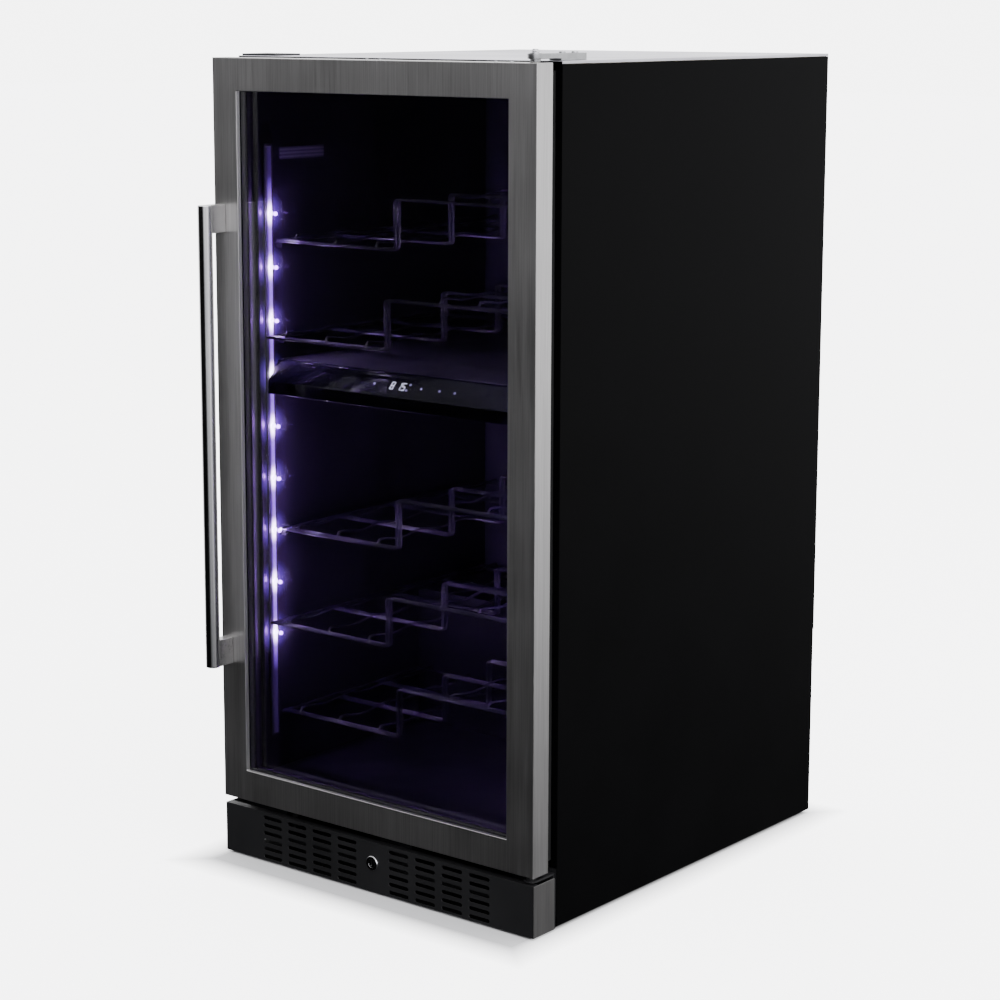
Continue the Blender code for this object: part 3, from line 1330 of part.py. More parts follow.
def build_cold_room():
    zone_divider()
    control_fascia()
    display_board()
    for number, level in enumerate(rack_levels(), start=1):
        front = FAR_RACK_FRONT if number % 2 else NEAR_RACK_FRONT
        rack(f"rack_{number}", level, front)
    led_strip("led_strip_left", -1)
    led_strip("led_strip_right", 1)
    for place, upper in (("upper", True), ("lower", False)):
        air_duct(f"air_duct_{place}", upper)
        evaporator(f"evaporator_{place}", upper)
        duct_fan(place, upper)


def build_machinery():
    compressor()
    condenser()
    condenser_fan()
    condensate_tray()
    power_board()
    discharge_line()
    suction_line()
    liquid_line()
    rear_cover()
    power_inlet()


def build_base():
    kick_grille()
    kick_end("kick_end_left", -1)
    kick_end("kick_end_right", 1)
    lock_barrel()
    lock_cylinder()
    for name, place in feet_places().items():
        foot(name, place)
    hinge_top()
    hinge_bottom()


def build_door():
    pieces = [
        door_frame(), door_core(), pane("glass_outer", PANE_FRONT),
        pane("glass_inner", PANE_FRONT + PANE + PANE_SPACE), glass_spacer(), door_gasket(),
        door_bushing("bushing_top", True), door_bushing("bushing_bottom", False),
        handle_tube(), handle_post("handle_post_upper", True),
        handle_post("handle_post_lower", False),
    ]
    pivot("door_pivot", (HINGE_X, HINGE_Y, 0), pieces)


def main():
    for old in list(bpy.data.objects):
        bpy.data.objects.remove(old)
    build_shell()
    build_cold_room()
    build_machinery()
    build_base()
    build_door()


main()
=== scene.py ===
import json
import math

import bpy
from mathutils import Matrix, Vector

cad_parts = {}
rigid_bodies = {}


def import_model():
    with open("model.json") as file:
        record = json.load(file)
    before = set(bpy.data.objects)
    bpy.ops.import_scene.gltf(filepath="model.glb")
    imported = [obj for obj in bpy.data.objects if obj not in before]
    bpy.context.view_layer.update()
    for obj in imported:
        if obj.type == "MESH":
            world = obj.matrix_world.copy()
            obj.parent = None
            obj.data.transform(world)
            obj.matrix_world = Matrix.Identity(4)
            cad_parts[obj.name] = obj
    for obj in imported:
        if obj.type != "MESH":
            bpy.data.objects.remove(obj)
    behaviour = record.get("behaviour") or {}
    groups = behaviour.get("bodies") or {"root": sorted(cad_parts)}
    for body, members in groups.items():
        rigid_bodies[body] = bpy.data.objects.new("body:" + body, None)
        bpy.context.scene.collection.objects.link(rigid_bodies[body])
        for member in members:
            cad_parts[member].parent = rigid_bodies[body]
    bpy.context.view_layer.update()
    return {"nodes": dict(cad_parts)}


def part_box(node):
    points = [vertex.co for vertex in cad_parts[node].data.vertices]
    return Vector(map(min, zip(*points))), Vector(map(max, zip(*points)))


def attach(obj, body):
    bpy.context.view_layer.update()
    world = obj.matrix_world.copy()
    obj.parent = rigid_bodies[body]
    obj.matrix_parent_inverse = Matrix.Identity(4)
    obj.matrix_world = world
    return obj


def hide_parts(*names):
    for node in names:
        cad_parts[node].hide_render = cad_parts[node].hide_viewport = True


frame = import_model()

# ---- places read from the frame --------------------------------------------------
DOOR_LOW, DOOR_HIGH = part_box("door_frame")
LINER_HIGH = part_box("inner_liner")[1]
ROOF_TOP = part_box("top_panel")[1].z
SIDE_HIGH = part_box("side_panel_right")[1]
FASCIA_LOW, FASCIA_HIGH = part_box("control_fascia")
STRIP_LOW, STRIP_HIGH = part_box("led_strip_left")
COVER_LOW, COVER_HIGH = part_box("rear_cover")
BACK_LOW, BACK_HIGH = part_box("back_panel")
KICK_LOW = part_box("kick_grille")[0]
BAR_LOW, BAR_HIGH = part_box("handle_tube")
HINGE_LOW, HINGE_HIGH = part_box("hinge_top")
FRONT_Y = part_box("front_frame")[0].y
WALL = 0.002              # liner's wall
LINER_INNER = LINER_HIGH.x - WALL
HINGE_X = (HINGE_LOW.x + HINGE_HIGH.x) / 2

# ---- sizes of the pieces made here -------------------------------------------------
LAMP_PITCH = 0.0796
LAMP_FIRST = 0.339        # height of the lowest bright lamp
LAMP_COUNT = 9
LAMP_RADIUS = 0.0042
LAMP_LAST = LAMP_FIRST + LAMP_PITCH * (LAMP_COUNT - 1)
LAMP_Y = STRIP_HIGH.y - 0.0044
LAMP_RISE = 0.0016
POOL = 0.034              # how far a lamp's painted pool of light reaches on the wall
POOL_GLOW = 2.2
LAMP_WATTS = 1.4
DIM_LAMP_WATTS = 0.5      # the right strip's top lamps, weak so that the upper zone stays dark
DIM_LAMPS = 3
RACK_WIRE = 0.005
CRADLE_WIRE = 0.0036
RACK_STEP = 0.072
RISER_X = -0.018
TWIN_GAP = 0.0085         # between the two wires of a doubled cross wire
BEND = 0.0055
CRADLE_PITCH = 0.086      # one bottle to the next, front to back
CRADLE_WAVE = 0.005
CRADLE_PLACES = (0.12, 0.42, 0.72)   # from the side wire in, as shares of the way to the riser
DIGIT_HEIGHT = 0.0125
DIGIT_WIDTH = 0.0064
DIGIT_STROKE = 0.0012
DIGIT_GAP = 0.0016
DIGIT_LEAN = 0.12         # sideways lean of the figures, as a share of their height
MARK_THICK = 0.0002
FIGURE_RISE = 0.0120      # foot of the figures, up the slope of the control panel
EDGE_SCREW = 0.0028       # radius of the screws in the door's edges
HINGE_BOLT = 0.0045
SHEET_SCREW = 0.0034
FACE_SCREW = 0.0030
FLOOR_LIFT = 5.4          # glow of the floor away from the cooler; close round the cooler it fades, a painted contact shadow
LABEL_DEPTH = (0.046, 0.143)   # the label's ends, behind the cabinet's front
LABEL_HEIGHT = (1.054, 1.072)


# ---- by-hand helpers ----------------------------------------------------------------
def only(piece):
    """Make one piece the only selected and active one."""
    bpy.ops.object.select_all(action="DESELECT")
    piece.select_set(True)
    bpy.context.view_layer.objects.active = piece


def made(name):
    """Name the piece that an operator has just made."""
    piece = bpy.context.object
    piece.name = name
    piece.data.name = name
    return piece


def settle(piece):
    """Put the piece's place, turn and size into its mesh."""
    only(piece)
    bpy.ops.object.transform_apply(location=True, rotation=True, scale=True)
    return piece


def cube(name, low, high):
    """Rectangular start for a piece, between two corners."""
    bpy.ops.object.select_all(action="DESELECT")
    low = Vector(low)
    high = Vector(high)
    bpy.ops.mesh.primitive_cube_add(size=1, location=(low + high) / 2, scale=high - low)
    return settle(made(name))


def cylinder(name, radius, start, end, sides=48):
    """Round start for a piece, on the line between two points."""
    bpy.ops.object.select_all(action="DESELECT")
    start = Vector(start)
    end = Vector(end)
    turn = (end - start).to_track_quat("Z", "Y").to_euler()
    bpy.ops.mesh.primitive_cylinder_add(vertices=sides, radius=radius, depth=(end - start).length,
                                        location=(start + end) / 2, rotation=turn)
    return settle(made(name))


def wire(name, points, radius):
    """Round wire along a line of points."""
    bpy.ops.object.select_all(action="DESELECT")
    bpy.ops.curve.primitive_nurbs_path_add(location=(0, 0, 0))
    path = made(name)
    path.data.splines.clear()
    spline = path.data.splines.new("POLY")
    spline.points.add(len(points) - 1)
    for point, place in zip(spline.points, points):
        point.co = (*place, 1.0)
    path.data.bevel_depth = radius
    path.data.bevel_resolution = 2
    path.data.use_fill_caps = True
    only(path)
    bpy.ops.object.convert(target="MESH")
    bpy.ops.object.shade_smooth_by_angle(angle=math.radians(50))
    return made(name)


def joined(name, parts):
    """Join several parts into one piece."""
    bpy.ops.object.select_all(action="DESELECT")
    for part in parts:
        part.select_set(True)
    bpy.context.view_layer.objects.active = parts[0]
    bpy.ops.object.join()
    return made(name)


def copied(piece, shift):
    """A copy of a part with its own mesh, moved by a shift."""
    only(piece)
    bpy.ops.object.duplicate()
    twin = bpy.context.object
    twin.location = shift
    return settle(twin)


def eased(piece, width, segments=2, angle=35):
    """Bevel the sharp edges and shade the rest smooth."""
    only(piece)
    bpy.ops.object.modifier_add(type="BEVEL")
    step = piece.modifiers[-1]
    step.width = width
    step.segments = segments
    step.limit_method = "ANGLE"
    step.angle_limit = math.radians(angle)
    bpy.ops.object.modifier_apply(modifier=step.name)
    bpy.ops.object.shade_smooth_by_angle(angle=math.radians(angle))
    bpy.ops.object.modifier_add(type="WEIGHTED_NORMAL")
    piece.modifiers[-1].keep_sharp = True
    bpy.ops.object.modifier_apply(modifier=piece.modifiers[-1].name)
    return piece


def finish(piece, body, look):
    """Give a new piece its material and its body."""
    piece.data.materials.clear()
    piece.data.materials.append(look)
    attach(piece, body)
    return piece


def refined(node, body, width, look, angle=30):
    """The same shape as a frame part, with whole flats and eased, smoothly shaded edges."""
    only(frame["nodes"][node])
    bpy.ops.object.duplicate()
    piece = made(f"{node}_shell")
    bpy.ops.object.parent_clear(type="CLEAR_KEEP_TRANSFORM")
    for key in list(piece.keys()):
        del piece[key]
    bpy.ops.object.mode_set(mode="EDIT")
    bpy.ops.mesh.select_all(action="SELECT")
    bpy.ops.mesh.remove_doubles(threshold=0.00001)
    bpy.ops.mesh.dissolve_limited(angle_limit=math.radians(0.5))
    bpy.ops.object.mode_set(mode="OBJECT")
    eased(piece, width, 2, angle)
    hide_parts(node)
    return finish(piece, body, look)


def repaint(node, look):
    """Give a frame part a detailed finish."""
    part = frame["nodes"][node]
    part.data.materials.clear()
    part.data.materials.append(look)


# ---- material helpers ------------------------------------------------------------------
def blank(name, color, rough, metallic=0.0, specular=0.5):
    """New material with the values that are the same all over it."""
    look = bpy.data.materials.new(name)
    look.use_nodes = True
    shader = look.node_tree.nodes["Principled BSDF"]
    shader.inputs["Base Color"].default_value = (*color, 1.0)
    shader.inputs["Roughness"].default_value = rough
    shader.inputs["Metallic"].default_value = metallic
    shader.inputs["Specular IOR Level"].default_value = specular
    return look


def shader_of(look):
    return look.node_tree.nodes["Principled BSDF"]


def own_places(look):
    """The piece's own coordinates."""
    return look.node_tree.nodes.new("ShaderNodeTexCoord").outputs["Object"]


def places_on(look):
    """The piece's own coordinates, one value for each axis."""
    split = look.node_tree.nodes.new("ShaderNodeSeparateXYZ")
    look.node_tree.links.new(own_places(look), split.inputs["Vector"])
    return split.outputs


def worked(look, kind, a, b):
    """One step of arithmetic; b is a number or another value."""
    step = look.node_tree.nodes.new("ShaderNodeMath")
    step.operation = kind
    look.node_tree.links.new(a, step.inputs[0])
    if isinstance(b, float):
        step.inputs[1].default_value = b
    else:
        look.node_tree.links.new(b, step.inputs[1])
    return step.outputs["Value"]


def noise(look, scale, stretch=(1, 1, 1), detail=4.0, rough=0.55):
    """Noise on the piece's own coordinates, squeezed or drawn out along an axis."""
    tree = look.node_tree
    mapping = tree.nodes.new("ShaderNodeMapping")
    mapping.inputs["Scale"].default_value = stretch
    texture = tree.nodes.new("ShaderNodeTexNoise")
    texture.inputs["Scale"].default_value = scale
    texture.inputs["Detail"].default_value = detail
    texture.inputs["Roughness"].default_value = rough
    tree.links.new(own_places(look), mapping.inputs["Vector"])
    tree.links.new(mapping.outputs["Vector"], texture.inputs["Vector"])
    return texture.outputs["Fac"]


def span(look, value, low, high, to_low, to_high):
    """Stretch a value from one range to another."""
    node = look.node_tree.nodes.new("ShaderNodeMapRange")
    node.inputs["From Min"].default_value = low
    node.inputs["From Max"].default_value = high
    node.inputs["To Min"].default_value = to_low
    node.inputs["To Max"].default_value = to_high
    look.node_tree.links.new(value, node.inputs["Value"])
    return node.outputs["Result"]


def shades(look, value, stops):
    """Colours along a value: stops are (place, colour)."""
    ramp = look.node_tree.nodes.new("ShaderNodeValToRGB")
    keys = ramp.color_ramp.elements
    while len(keys) < len(stops):
        keys.new(0.5)
    for key, (place, color) in zip(keys, stops):
        key.position = place
        key.color = (*color, 1.0)
    look.node_tree.links.new(value, ramp.inputs["Fac"])
    return ramp.outputs["Color"]


def relief(look, height, strength, distance=0.0005):
    """Fine relief on the surface."""
    bump = look.node_tree.nodes.new("ShaderNodeBump")
    bump.inputs["Strength"].default_value = strength
    bump.inputs["Distance"].default_value = distance
    look.node_tree.links.new(height, bump.inputs["Height"])
    look.node_tree.links.new(bump.outputs["Normal"], shader_of(look).inputs["Normal"])


def drive(look, value, socket):
    look.node_tree.links.new(value, shader_of(look).inputs[socket])


def blend_values(look, a, b, share):
    """Mix two grey values by a fixed share."""
    mix = look.node_tree.nodes.new("ShaderNodeMix")
    mix.inputs["Factor"].default_value = share
    look.node_tree.links.new(a, mix.inputs["A"])
    look.node_tree.links.new(b, mix.inputs["B"])
    return mix.outputs["Result"]


def grained_steel(name, stretch, tone, rough, spread=0.0):
    """Steel brushed in one direction: fine hair lines over broader, softer bands.

    Spread is how far the grain draws highlights out across itself.
    """
    look = blank(name, tone, rough, 1.0)
    hair = noise(look, 620.0, stretch, 4.0, 0.75)
    band = noise(look, 70.0, stretch, 3.0)
    smudge = noise(look, 7.0, (1, 1, 1), 3.0)
    lines = blend_values(look, hair, band, 0.22)
    dark = tuple(c * 0.80 for c in tone)
    light = tuple(min(1.0, c * 1.16) for c in tone)
    drive(look, shades(look, lines, [(0.34, dark), (0.5, tone), (0.68, light)]), "Base Color")
    cloudy = blend_values(look, lines, smudge, 0.4)
    drive(look, span(look, cloudy, 0.3, 0.7, rough - 0.06, rough + 0.08), "Roughness")
    relief(look, hair, 0.10, 0.0002)
    if spread:
        shader_of(look).inputs["Anisotropic"].default_value = spread
        grain = look.node_tree.nodes.new("ShaderNodeTangent")
        grain.direction_type = "RADIAL"
        grain.axis = "Z"
        drive(look, grain.outputs["Tangent"], "Tangent")
    return look


def painted(name, tone, rough, specular, orange_peel=0.05):
    """Sprayed and baked paint: faint orange peel and a little dust in its gloss."""
    look = blank(name, tone, rough, 0.0, specular)
    peel = noise(look, 420.0, (1, 1, 1), 2.0)
    cloud = noise(look, 6.0, (1, 1, 1), 4.0)
    dark = tuple(c * 0.85 for c in tone)
    light = tuple(c * 1.2 for c in tone)
    drive(look, shades(look, cloud, [(0.35, dark), (0.65, light)]), "Base Color")
    drive(look, span(look, cloud, 0.3, 0.7, rough - 0.015, rough + 0.02), "Roughness")
    relief(look, peel, orange_peel, 0.0003)
    return look


def moulded(name, tone, rough, grain_scale=900.0, depth=0.12, specular=0.4):
    """Moulded plastic with a fine leathery texture and slight flow marks."""
    look = blank(name, tone, rough, 0.0, specular)
    tree = look.node_tree
    cells = tree.nodes.new("ShaderNodeTexVoronoi")
    cells.inputs["Scale"].default_value = grain_scale
    tree.links.new(own_places(look), cells.inputs["Vector"])
    flow = noise(look, 9.0, (1, 1, 0.3), 3.0)
    dark = tuple(c * 0.8 for c in tone)
    light = tuple(c * 1.25 for c in tone)
    drive(look, shades(look, flow, [(0.35, dark), (0.65, light)]), "Base Color")
    drive(look, span(look, flow, 0.3, 0.7, rough - 0.05, rough + 0.07), "Roughness")
    relief(look, cells.outputs["Distance"], depth, 0.0002)
    return look


def plated(name, tone, rough):
    """Zinc plating: pale spangle with slightly uneven gloss."""
    look = blank(name, tone, rough, 1.0)
    tree = look.node_tree
    cells = tree.nodes.new("ShaderNodeTexVoronoi")
    cells.inputs["Scale"].default_value = 85.0
    tree.links.new(own_places(look), cells.inputs["Vector"])
    dark = tuple(c * 0.92 for c in tone)
    light = tuple(min(1.0, c * 1.07) for c in tone)
    drive(look, shades(look, cells.outputs["Color"], [(0.2, dark), (0.8, light)]), "Base Color")
    haze = noise(look, 30.0, (1, 1, 1), 4.0)
    drive(look, span(look, haze, 0.3, 0.7, rough - 0.03, rough + 0.04), "Roughness")
    relief(look, haze, 0.05, 0.0002)
    return look


# ---- finishes --------------------------------------------------------------------------
UPRIGHT_STEEL = grained_steel("upright_brushed_steel", (1.0, 1.0, 0.012),
                              (0.52, 0.512, 0.508), 0.38, 0.70)
LEVEL_STEEL = grained_steel("level_brushed_steel", (0.012, 1.0, 1.0), (0.60, 0.59, 0.585), 0.30)
# Steel of the kick's end caps, toned far darker than the door's steel: painted shade, low down by the
# floor.
SHADED_KICK_STEEL = grained_steel("kick_brushed_steel_painted_shade", (1.0, 1.0, 0.012), (0.16, 0.157, 0.155), 0.42)
BRIGHT_STEEL = grained_steel("polished_steel", (1.0, 1.0, 0.01), (0.78, 0.78, 0.79), 0.12)
CHROME = painted("chrome_plate", (0.80, 0.80, 0.82), 0.10, 0.5, 0.02)
shader_of(CHROME).inputs["Metallic"].default_value = 1.0
SIDE_PAINT = painted("black_cabinet_paint", (0.0014, 0.0014, 0.0016), 0.40, 0.022)
KICK_PAINT = painted("black_kick_paint", (0.016, 0.016, 0.017), 0.40, 0.32, 0.1)
# Roof sheet: its pale tone is a painted reflection, standing in for the bright surroundings that dark
# paint mirrors at a grazing angle.
ROOF_PAINTED_REFLECTION = painted("roof_sheet_painted_reflection", (0.66, 0.65, 0.70), 0.30, 0.6, 0.04)
BACK_PAINT = painted("black_back_paint", (0.012, 0.012, 0.013), 0.5, 0.3)
MATT_BLACK = moulded("black_plastic", (0.012, 0.012, 0.014), 0.45)
LINER_BLACK = moulded("liner_plastic", (0.0055, 0.0052, 0.007), 0.33, 1100.0, 0.08, 0.32)
DUCT_BLACK = moulded("duct_plastic", (0.010, 0.010, 0.013), 0.5, 700.0, 0.15, 0.3)
NYLON = moulded("white_nylon", (0.62, 0.61, 0.57), 0.4, 800.0, 0.05)
RUBBER = moulded("gasket_rubber", (0.012, 0.012, 0.012), 0.68, 1500.0, 0.2, 0.25)
FOOT_RUBBER = moulded("foot_rubber", (0.03, 0.03, 0.031), 0.7, 600.0, 0.25, 0.3)
ZINC = plated("zinc_plate", (0.60, 0.61, 0.62), 0.30)
HINGE_PLATE = plated("hinge_plate", (0.38, 0.385, 0.39), 0.32)
SPACER = plated("spacer_aluminium", (0.07, 0.07, 0.08), 0.5)
COPPER = grained_steel("drawn_copper", (1.0, 1.0, 0.05), (0.78, 0.40, 0.25), 0.26)
FIN = grained_steel("fin_aluminium", (1.0, 0.05, 1.0), (0.72, 0.73, 0.74), 0.36)
ENAMEL = painted("compressor_enamel", (0.012, 0.012, 0.013), 0.26, 0.5, 0.2)
RACK_COAT = painted("rack_coating", (0.006, 0.006, 0.008), 0.17, 0.7, 0.08)
PANEL_GLOSS = painted("panel_gloss", (0.004, 0.004, 0.006), 0.05, 0.55, 0.01)


def foam_look():
    """Rigid foam: fine open cells of uneven colour."""
    look = blank("rigid_foam", (0.74, 0.64, 0.38), 0.95)
    cells = noise(look, 700.0, (1, 1, 1), 6.0, 0.7)
    patch = noise(look, 12.0)
    color = shades(look, patch, [(0.35, (0.66, 0.54, 0.30)), (0.65, (0.80, 0.71, 0.45))])
    drive(look, color, "Base Color")
    relief(look, cells, 0.7, 0.001)
    return look


def glass_look(name, tint, coat_haze):
    """Clear float glass with the faintest haze from handling."""
    look = blank(name, tint, 0.0)
    shader = shader_of(look)
    shader.inputs["Transmission Weight"].default_value = 1.0
    shader.inputs["IOR"].default_value = 1.5
    haze = noise(look, 5.0, (1, 1, 0.4), 5.0)
    drive(look, span(look, haze, 0.35, 0.75, 0.0, coat_haze), "Roughness")
    return look


def glow_look(name, color, strength, base=(0.7, 0.68, 0.8)):
    """Lit plastic, its glow varying a little from place to place."""
    look = blank(name, base, 0.35)
    shader = shader_of(look)
    shader.inputs["Emission Strength"].default_value = strength
    soft = noise(look, 300.0, (1, 1, 1), 2.0)
    rim = tuple(c * 0.85 for c in color)
    drive(look, shades(look, soft, [(0.3, rim), (0.6, color)]), "Emission Color")
    return look


def from_lamp(look, height):
    """Share of a pitch from the nearest lamp, along the strip: 0 at the lamp, 0.5 halfway."""
    foot = LAMP_FIRST - LAMP_PITCH / 2
    along = span(look, height, foot, foot + LAMP_PITCH * LAMP_COUNT, 0.5, LAMP_COUNT + 0.5)
    return worked(look, "PINGPONG", along, 0.5)


def strip_look():
    """Light strip: white at each lamp, violet between the lamps, dim past the end lamps."""
    look = blank("light_strip", (0.03, 0.025, 0.05), 0.35)
    _, y, z = places_on(look)
    wave = from_lamp(look, z)
    color = shades(look, wave, [
        (0.0, (1.0, 0.95, 1.0)), (0.14, (0.72, 0.50, 1.0)),
        (0.3, (0.46, 0.22, 1.0)), (0.5, (0.34, 0.12, 0.95))])
    drive(look, color, "Emission Color")
    peak = worked(look, "POWER", span(look, wave, 0.0, 0.30, 1.0, 0.0), 2.0)
    near = span(look, peak, 0.0, 1.0, 2.0, 40.0)
    fades = (span(look, z, LAMP_LAST + 0.010, LAMP_LAST + 0.055, 1.0, 0.05),
             span(look, z, LAMP_FIRST - 0.060, LAMP_FIRST - 0.010, 0.02, 1.0),
             span(look, y, STRIP_LOW.y + 0.003, STRIP_LOW.y + 0.007, 0.02, 1.0))
    for fade in fades:
        near = worked(look, "MULTIPLY", near, fade)
    drive(look, near, "Emission Strength")
    return look


def pooled_walls(look):
    """Violet pools of light painted on the side walls as the liner's own glow, round each lamp of the
    strips.
    """
    x, y, z = places_on(look)
    tree = look.node_tree
    reach = tree.nodes.new("ShaderNodeCombineXYZ")
    across = span(look, y, LAMP_Y - POOL, LAMP_Y + POOL, -1.0, 1.0)
    upright = span(look, from_lamp(look, z), 0.0, 0.5, 0.0, LAMP_PITCH / 2 / POOL)
    tree.links.new(across, reach.inputs["Y"])
    tree.links.new(upright, reach.inputs["Z"])
    length = tree.nodes.new("ShaderNodeVectorMath")
    length.operation = "LENGTH"
    tree.links.new(reach.outputs["Vector"], length.inputs[0])
    color = shades(look, length.outputs["Value"], [
        (0.0, (0.55, 0.30, 1.0)), (0.25, (0.22, 0.085, 0.62)), (0.5, (0.055, 0.020, 0.20)),
        (0.8, (0.010, 0.003, 0.045)), (1.0, (0.0, 0.0, 0.0))])
    drive(look, color, "Emission Color")
    side = worked(look, "ABSOLUTE", x, 0.0)
    wall = span(look, side, LINER_INNER - 0.0006, LINER_INNER - 0.0002, 0.0, 1.0)
    drive(look, worked(look, "MULTIPLY", wall, POOL_GLOW), "Emission Strength")


def board_look():
    """Green circuit board with pale tracks."""
    look = blank("circuit_board", (0.01, 0.06, 0.025), 0.35)
    tree = look.node_tree
    brick = tree.nodes.new("ShaderNodeTexBrick")
    brick.inputs["Scale"].default_value = 60.0
    brick.inputs["Mortar Size"].default_value = 0.03
    brick.inputs["Color1"].default_value = (0.008, 0.07, 0.03, 1)
    brick.inputs["Color2"].default_value = (0.012, 0.09, 0.04, 1)
    brick.inputs["Mortar"].default_value = (0.10, 0.22, 0.10, 1)
    tree.links.new(own_places(look), brick.inputs["Vector"])
    drive(look, brick.outputs["Color"], "Base Color")
    relief(look, brick.outputs["Fac"], 0.2, 0.0002)
    return look


FOAM = foam_look()
OUTER_GLASS = glass_look("outer_glass", (0.80, 0.80, 0.83), 0.012)
INNER_GLASS = glass_look("inner_glass", (0.86, 0.85, 0.90), 0.008)
STRIP = strip_look()
# Painted light: the liner glows violet round each lamp, though it is no lamp.
pooled_walls(LINER_BLACK)
LAMP = glow_look("lamp_lens", (0.80, 0.64, 1.0), 2600.0)
DIGIT = glow_look("display_light", (0.86, 0.88, 1.0), 3.2)
MARK = glow_look("touch_mark_light", (0.55, 0.48, 1.0), 1.2)
BOARD = board_look()


def label_look():
    """Blank pale label with soft grey bars."""
    look = blank("blank_label", (0.10, 0.10, 0.11), 0.6)
    bars = look.node_tree.nodes.new("ShaderNodeTexWave")
    bars.bands_direction = "Z"
    bars.inputs["Scale"].default_value = 60.0
    bars.inputs["Distortion"].default_value = 0.0
    look.node_tree.links.new(own_places(look), bars.inputs["Vector"])
    color = shades(look, bars.outputs["Fac"], [
        (0.40, (0.085, 0.08, 0.10)), (0.75, (0.035, 0.035, 0.045))])
    drive(look, color, "Base Color")
    return look


LABEL = label_look()


# ---- the frame's own parts: finishes ----------------------------------------------------
def finish_frame_parts():
    looks = {
        MATT_BLACK: ("zone_divider", "fan_frame_upper", "fan_frame_lower", "fan_rotor_upper",
                     "fan_rotor_lower", "condenser_fan_frame", "condenser_fan_rotor",
                     "condensate_tray", "power_board", "power_inlet", "door_core"),
        DUCT_BLACK: ("air_duct_upper", "air_duct_lower"),
        LINER_BLACK: ("inner_liner",),
        RUBBER: ("door_gasket",),
        BACK_PAINT: ("base_tray", "hinge_bottom"),
        ZINC: ("bulkhead",),
        COPPER: ("discharge_line", "suction_line", "liquid_line"),
        FIN: ("evaporator_upper", "evaporator_lower", "condenser"),
        NYLON: ("bushing_top", "bushing_bottom"),
    }
    for look, nodes in looks.items():
        for node in nodes:
            repaint(node, look)
    repaint("foam_insulation", FOAM)
    repaint("display_board", BOARD)
    repaint("glass_outer", OUTER_GLASS)
    repaint("glass_inner", INNER_GLASS)
    repaint("glass_spacer", SPACER)
    repaint("led_strip_left", STRIP)
    repaint("led_strip_right", STRIP)


def refine_frame_parts():
    """Parts whose folded or turned edges show: the same shapes with eased edges."""
    refined("door_frame", "door", 0.00022, UPRIGHT_STEEL)
    refined("side_panel_left", "cabinet", 0.0003, SIDE_PAINT)
    refined("side_panel_right", "cabinet", 0.0003, SIDE_PAINT)
    refined("top_panel", "cabinet", 0.0004, ROOF_PAINTED_REFLECTION)
    refined("back_panel", "cabinet", 0.0003, BACK_PAINT)
    refined("front_frame", "cabinet", 0.0005, SIDE_PAINT)
    refined("kick_grille", "cabinet", 0.00025, KICK_PAINT)
    refined("kick_end_left", "cabinet", 0.0003, SHADED_KICK_STEEL)
    refined("kick_end_right", "cabinet", 0.0003, SHADED_KICK_STEEL)
    refined("handle_post_upper", "door", 0.0003, LEVEL_STEEL)
    refined("handle_post_lower", "door", 0.0003, LEVEL_STEEL)
    refined("control_fascia", "cabinet", 0.0012, PANEL_GLOSS)
    refined("rear_cover", "cabinet", 0.0002, ZINC)
    refined("compressor", "cabinet", 0.0012, ENAMEL, 40)
    refined("hinge_top", "cabinet", 0.0008, HINGE_PLATE)
    refined("lock_barrel", "cabinet", 0.0002, CHROME)
    refined("lock_cylinder", "lock_plug", 0.0002, BRIGHT_STEEL)
    for foot in ("front_left", "front_right", "rear_left", "rear_right"):
        refined(f"foot_{foot}", f"{foot}_foot", 0.0006, FOOT_RUBBER)


# ---- handle ------------------------------------------------------------------------------
def handle_bar():
    """Round bar with softly domed ends."""
    middle = (BAR_LOW + BAR_HIGH) / 2
    radius = (BAR_HIGH.x - BAR_LOW.x) / 2
    start = (middle.x, middle.y, BAR_LOW.z)
    end = (middle.x, middle.y, BAR_HIGH.z)
    bar = cylinder("handle_bar", radius, start, end, 96)
    eased(bar, 0.0012, 4, 50)
    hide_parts("handle_tube")
    finish(bar, "door", BRIGHT_STEEL)


def handle_screws():
    """Set screw in the underside of each post, which holds the bar."""
    for name in ("upper", "lower"):
        low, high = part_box(f"handle_post_{name}")
        middle = (low + high) / 2
        head = cylinder(f"{name}_set_screw", 0.0024, (middle.x, middle.y - 0.002, low.z - 0.0004),
                        (middle.x, middle.y - 0.002, low.z + 0.0006), 24)
        bpy.ops.object.mode_set(mode="EDIT")
        bpy.ops.mesh.select_mode(type="FACE")
        bpy.ops.mesh.select_all(action="DESELECT")
        bpy.ops.object.mode_set(mode="OBJECT")
        for face in head.data.polygons:
            face.select = face.normal.z < -0.9
        bpy.ops.object.mode_set(mode="EDIT")
        bpy.ops.mesh.inset(thickness=0.0011)
        bpy.ops.mesh.extrude_region_move(TRANSFORM_OT_translate={"value": (0, 0, 0.0007)})
        bpy.ops.object.mode_set(mode="OBJECT")
        eased(head, 0.00015)
        finish(head, "door", CHROME)


# ---- screws --------------------------------------------------------------------------------
def screw_head(name, place, out, radius, height):
    """Domed screw head with a round recess. It stands on a face, pointing out."""
    out = Vector(out)
    place = Vector(place)
    head = cylinder(name, radius, place, place + out * height, 24)
    bpy.ops.object.select_all(action="DESELECT")
    only(head)
    bpy.ops.object.mode_set(mode="EDIT")
    bpy.ops.mesh.select_mode(type="FACE")
    bpy.ops.mesh.select_all(action="DESELECT")
    bpy.ops.object.mode_set(mode="OBJECT")
    for face in head.data.polygons:
        face.select = face.normal.dot(out) > 0.9
    bpy.ops.object.mode_set(mode="EDIT")
    bpy.ops.mesh.inset(thickness=radius * 0.35)
    bpy.ops.transform.translate(value=out * height * 0.35)
    bpy.ops.mesh.inset(thickness=radius * 0.30)
    bpy.ops.mesh.extrude_region_move(TRANSFORM_OT_translate={"value": -out * height * 0.8})
    bpy.ops.object.mode_set(mode="OBJECT")
    eased(head, radius * 0.06, 2, 25)
    return head


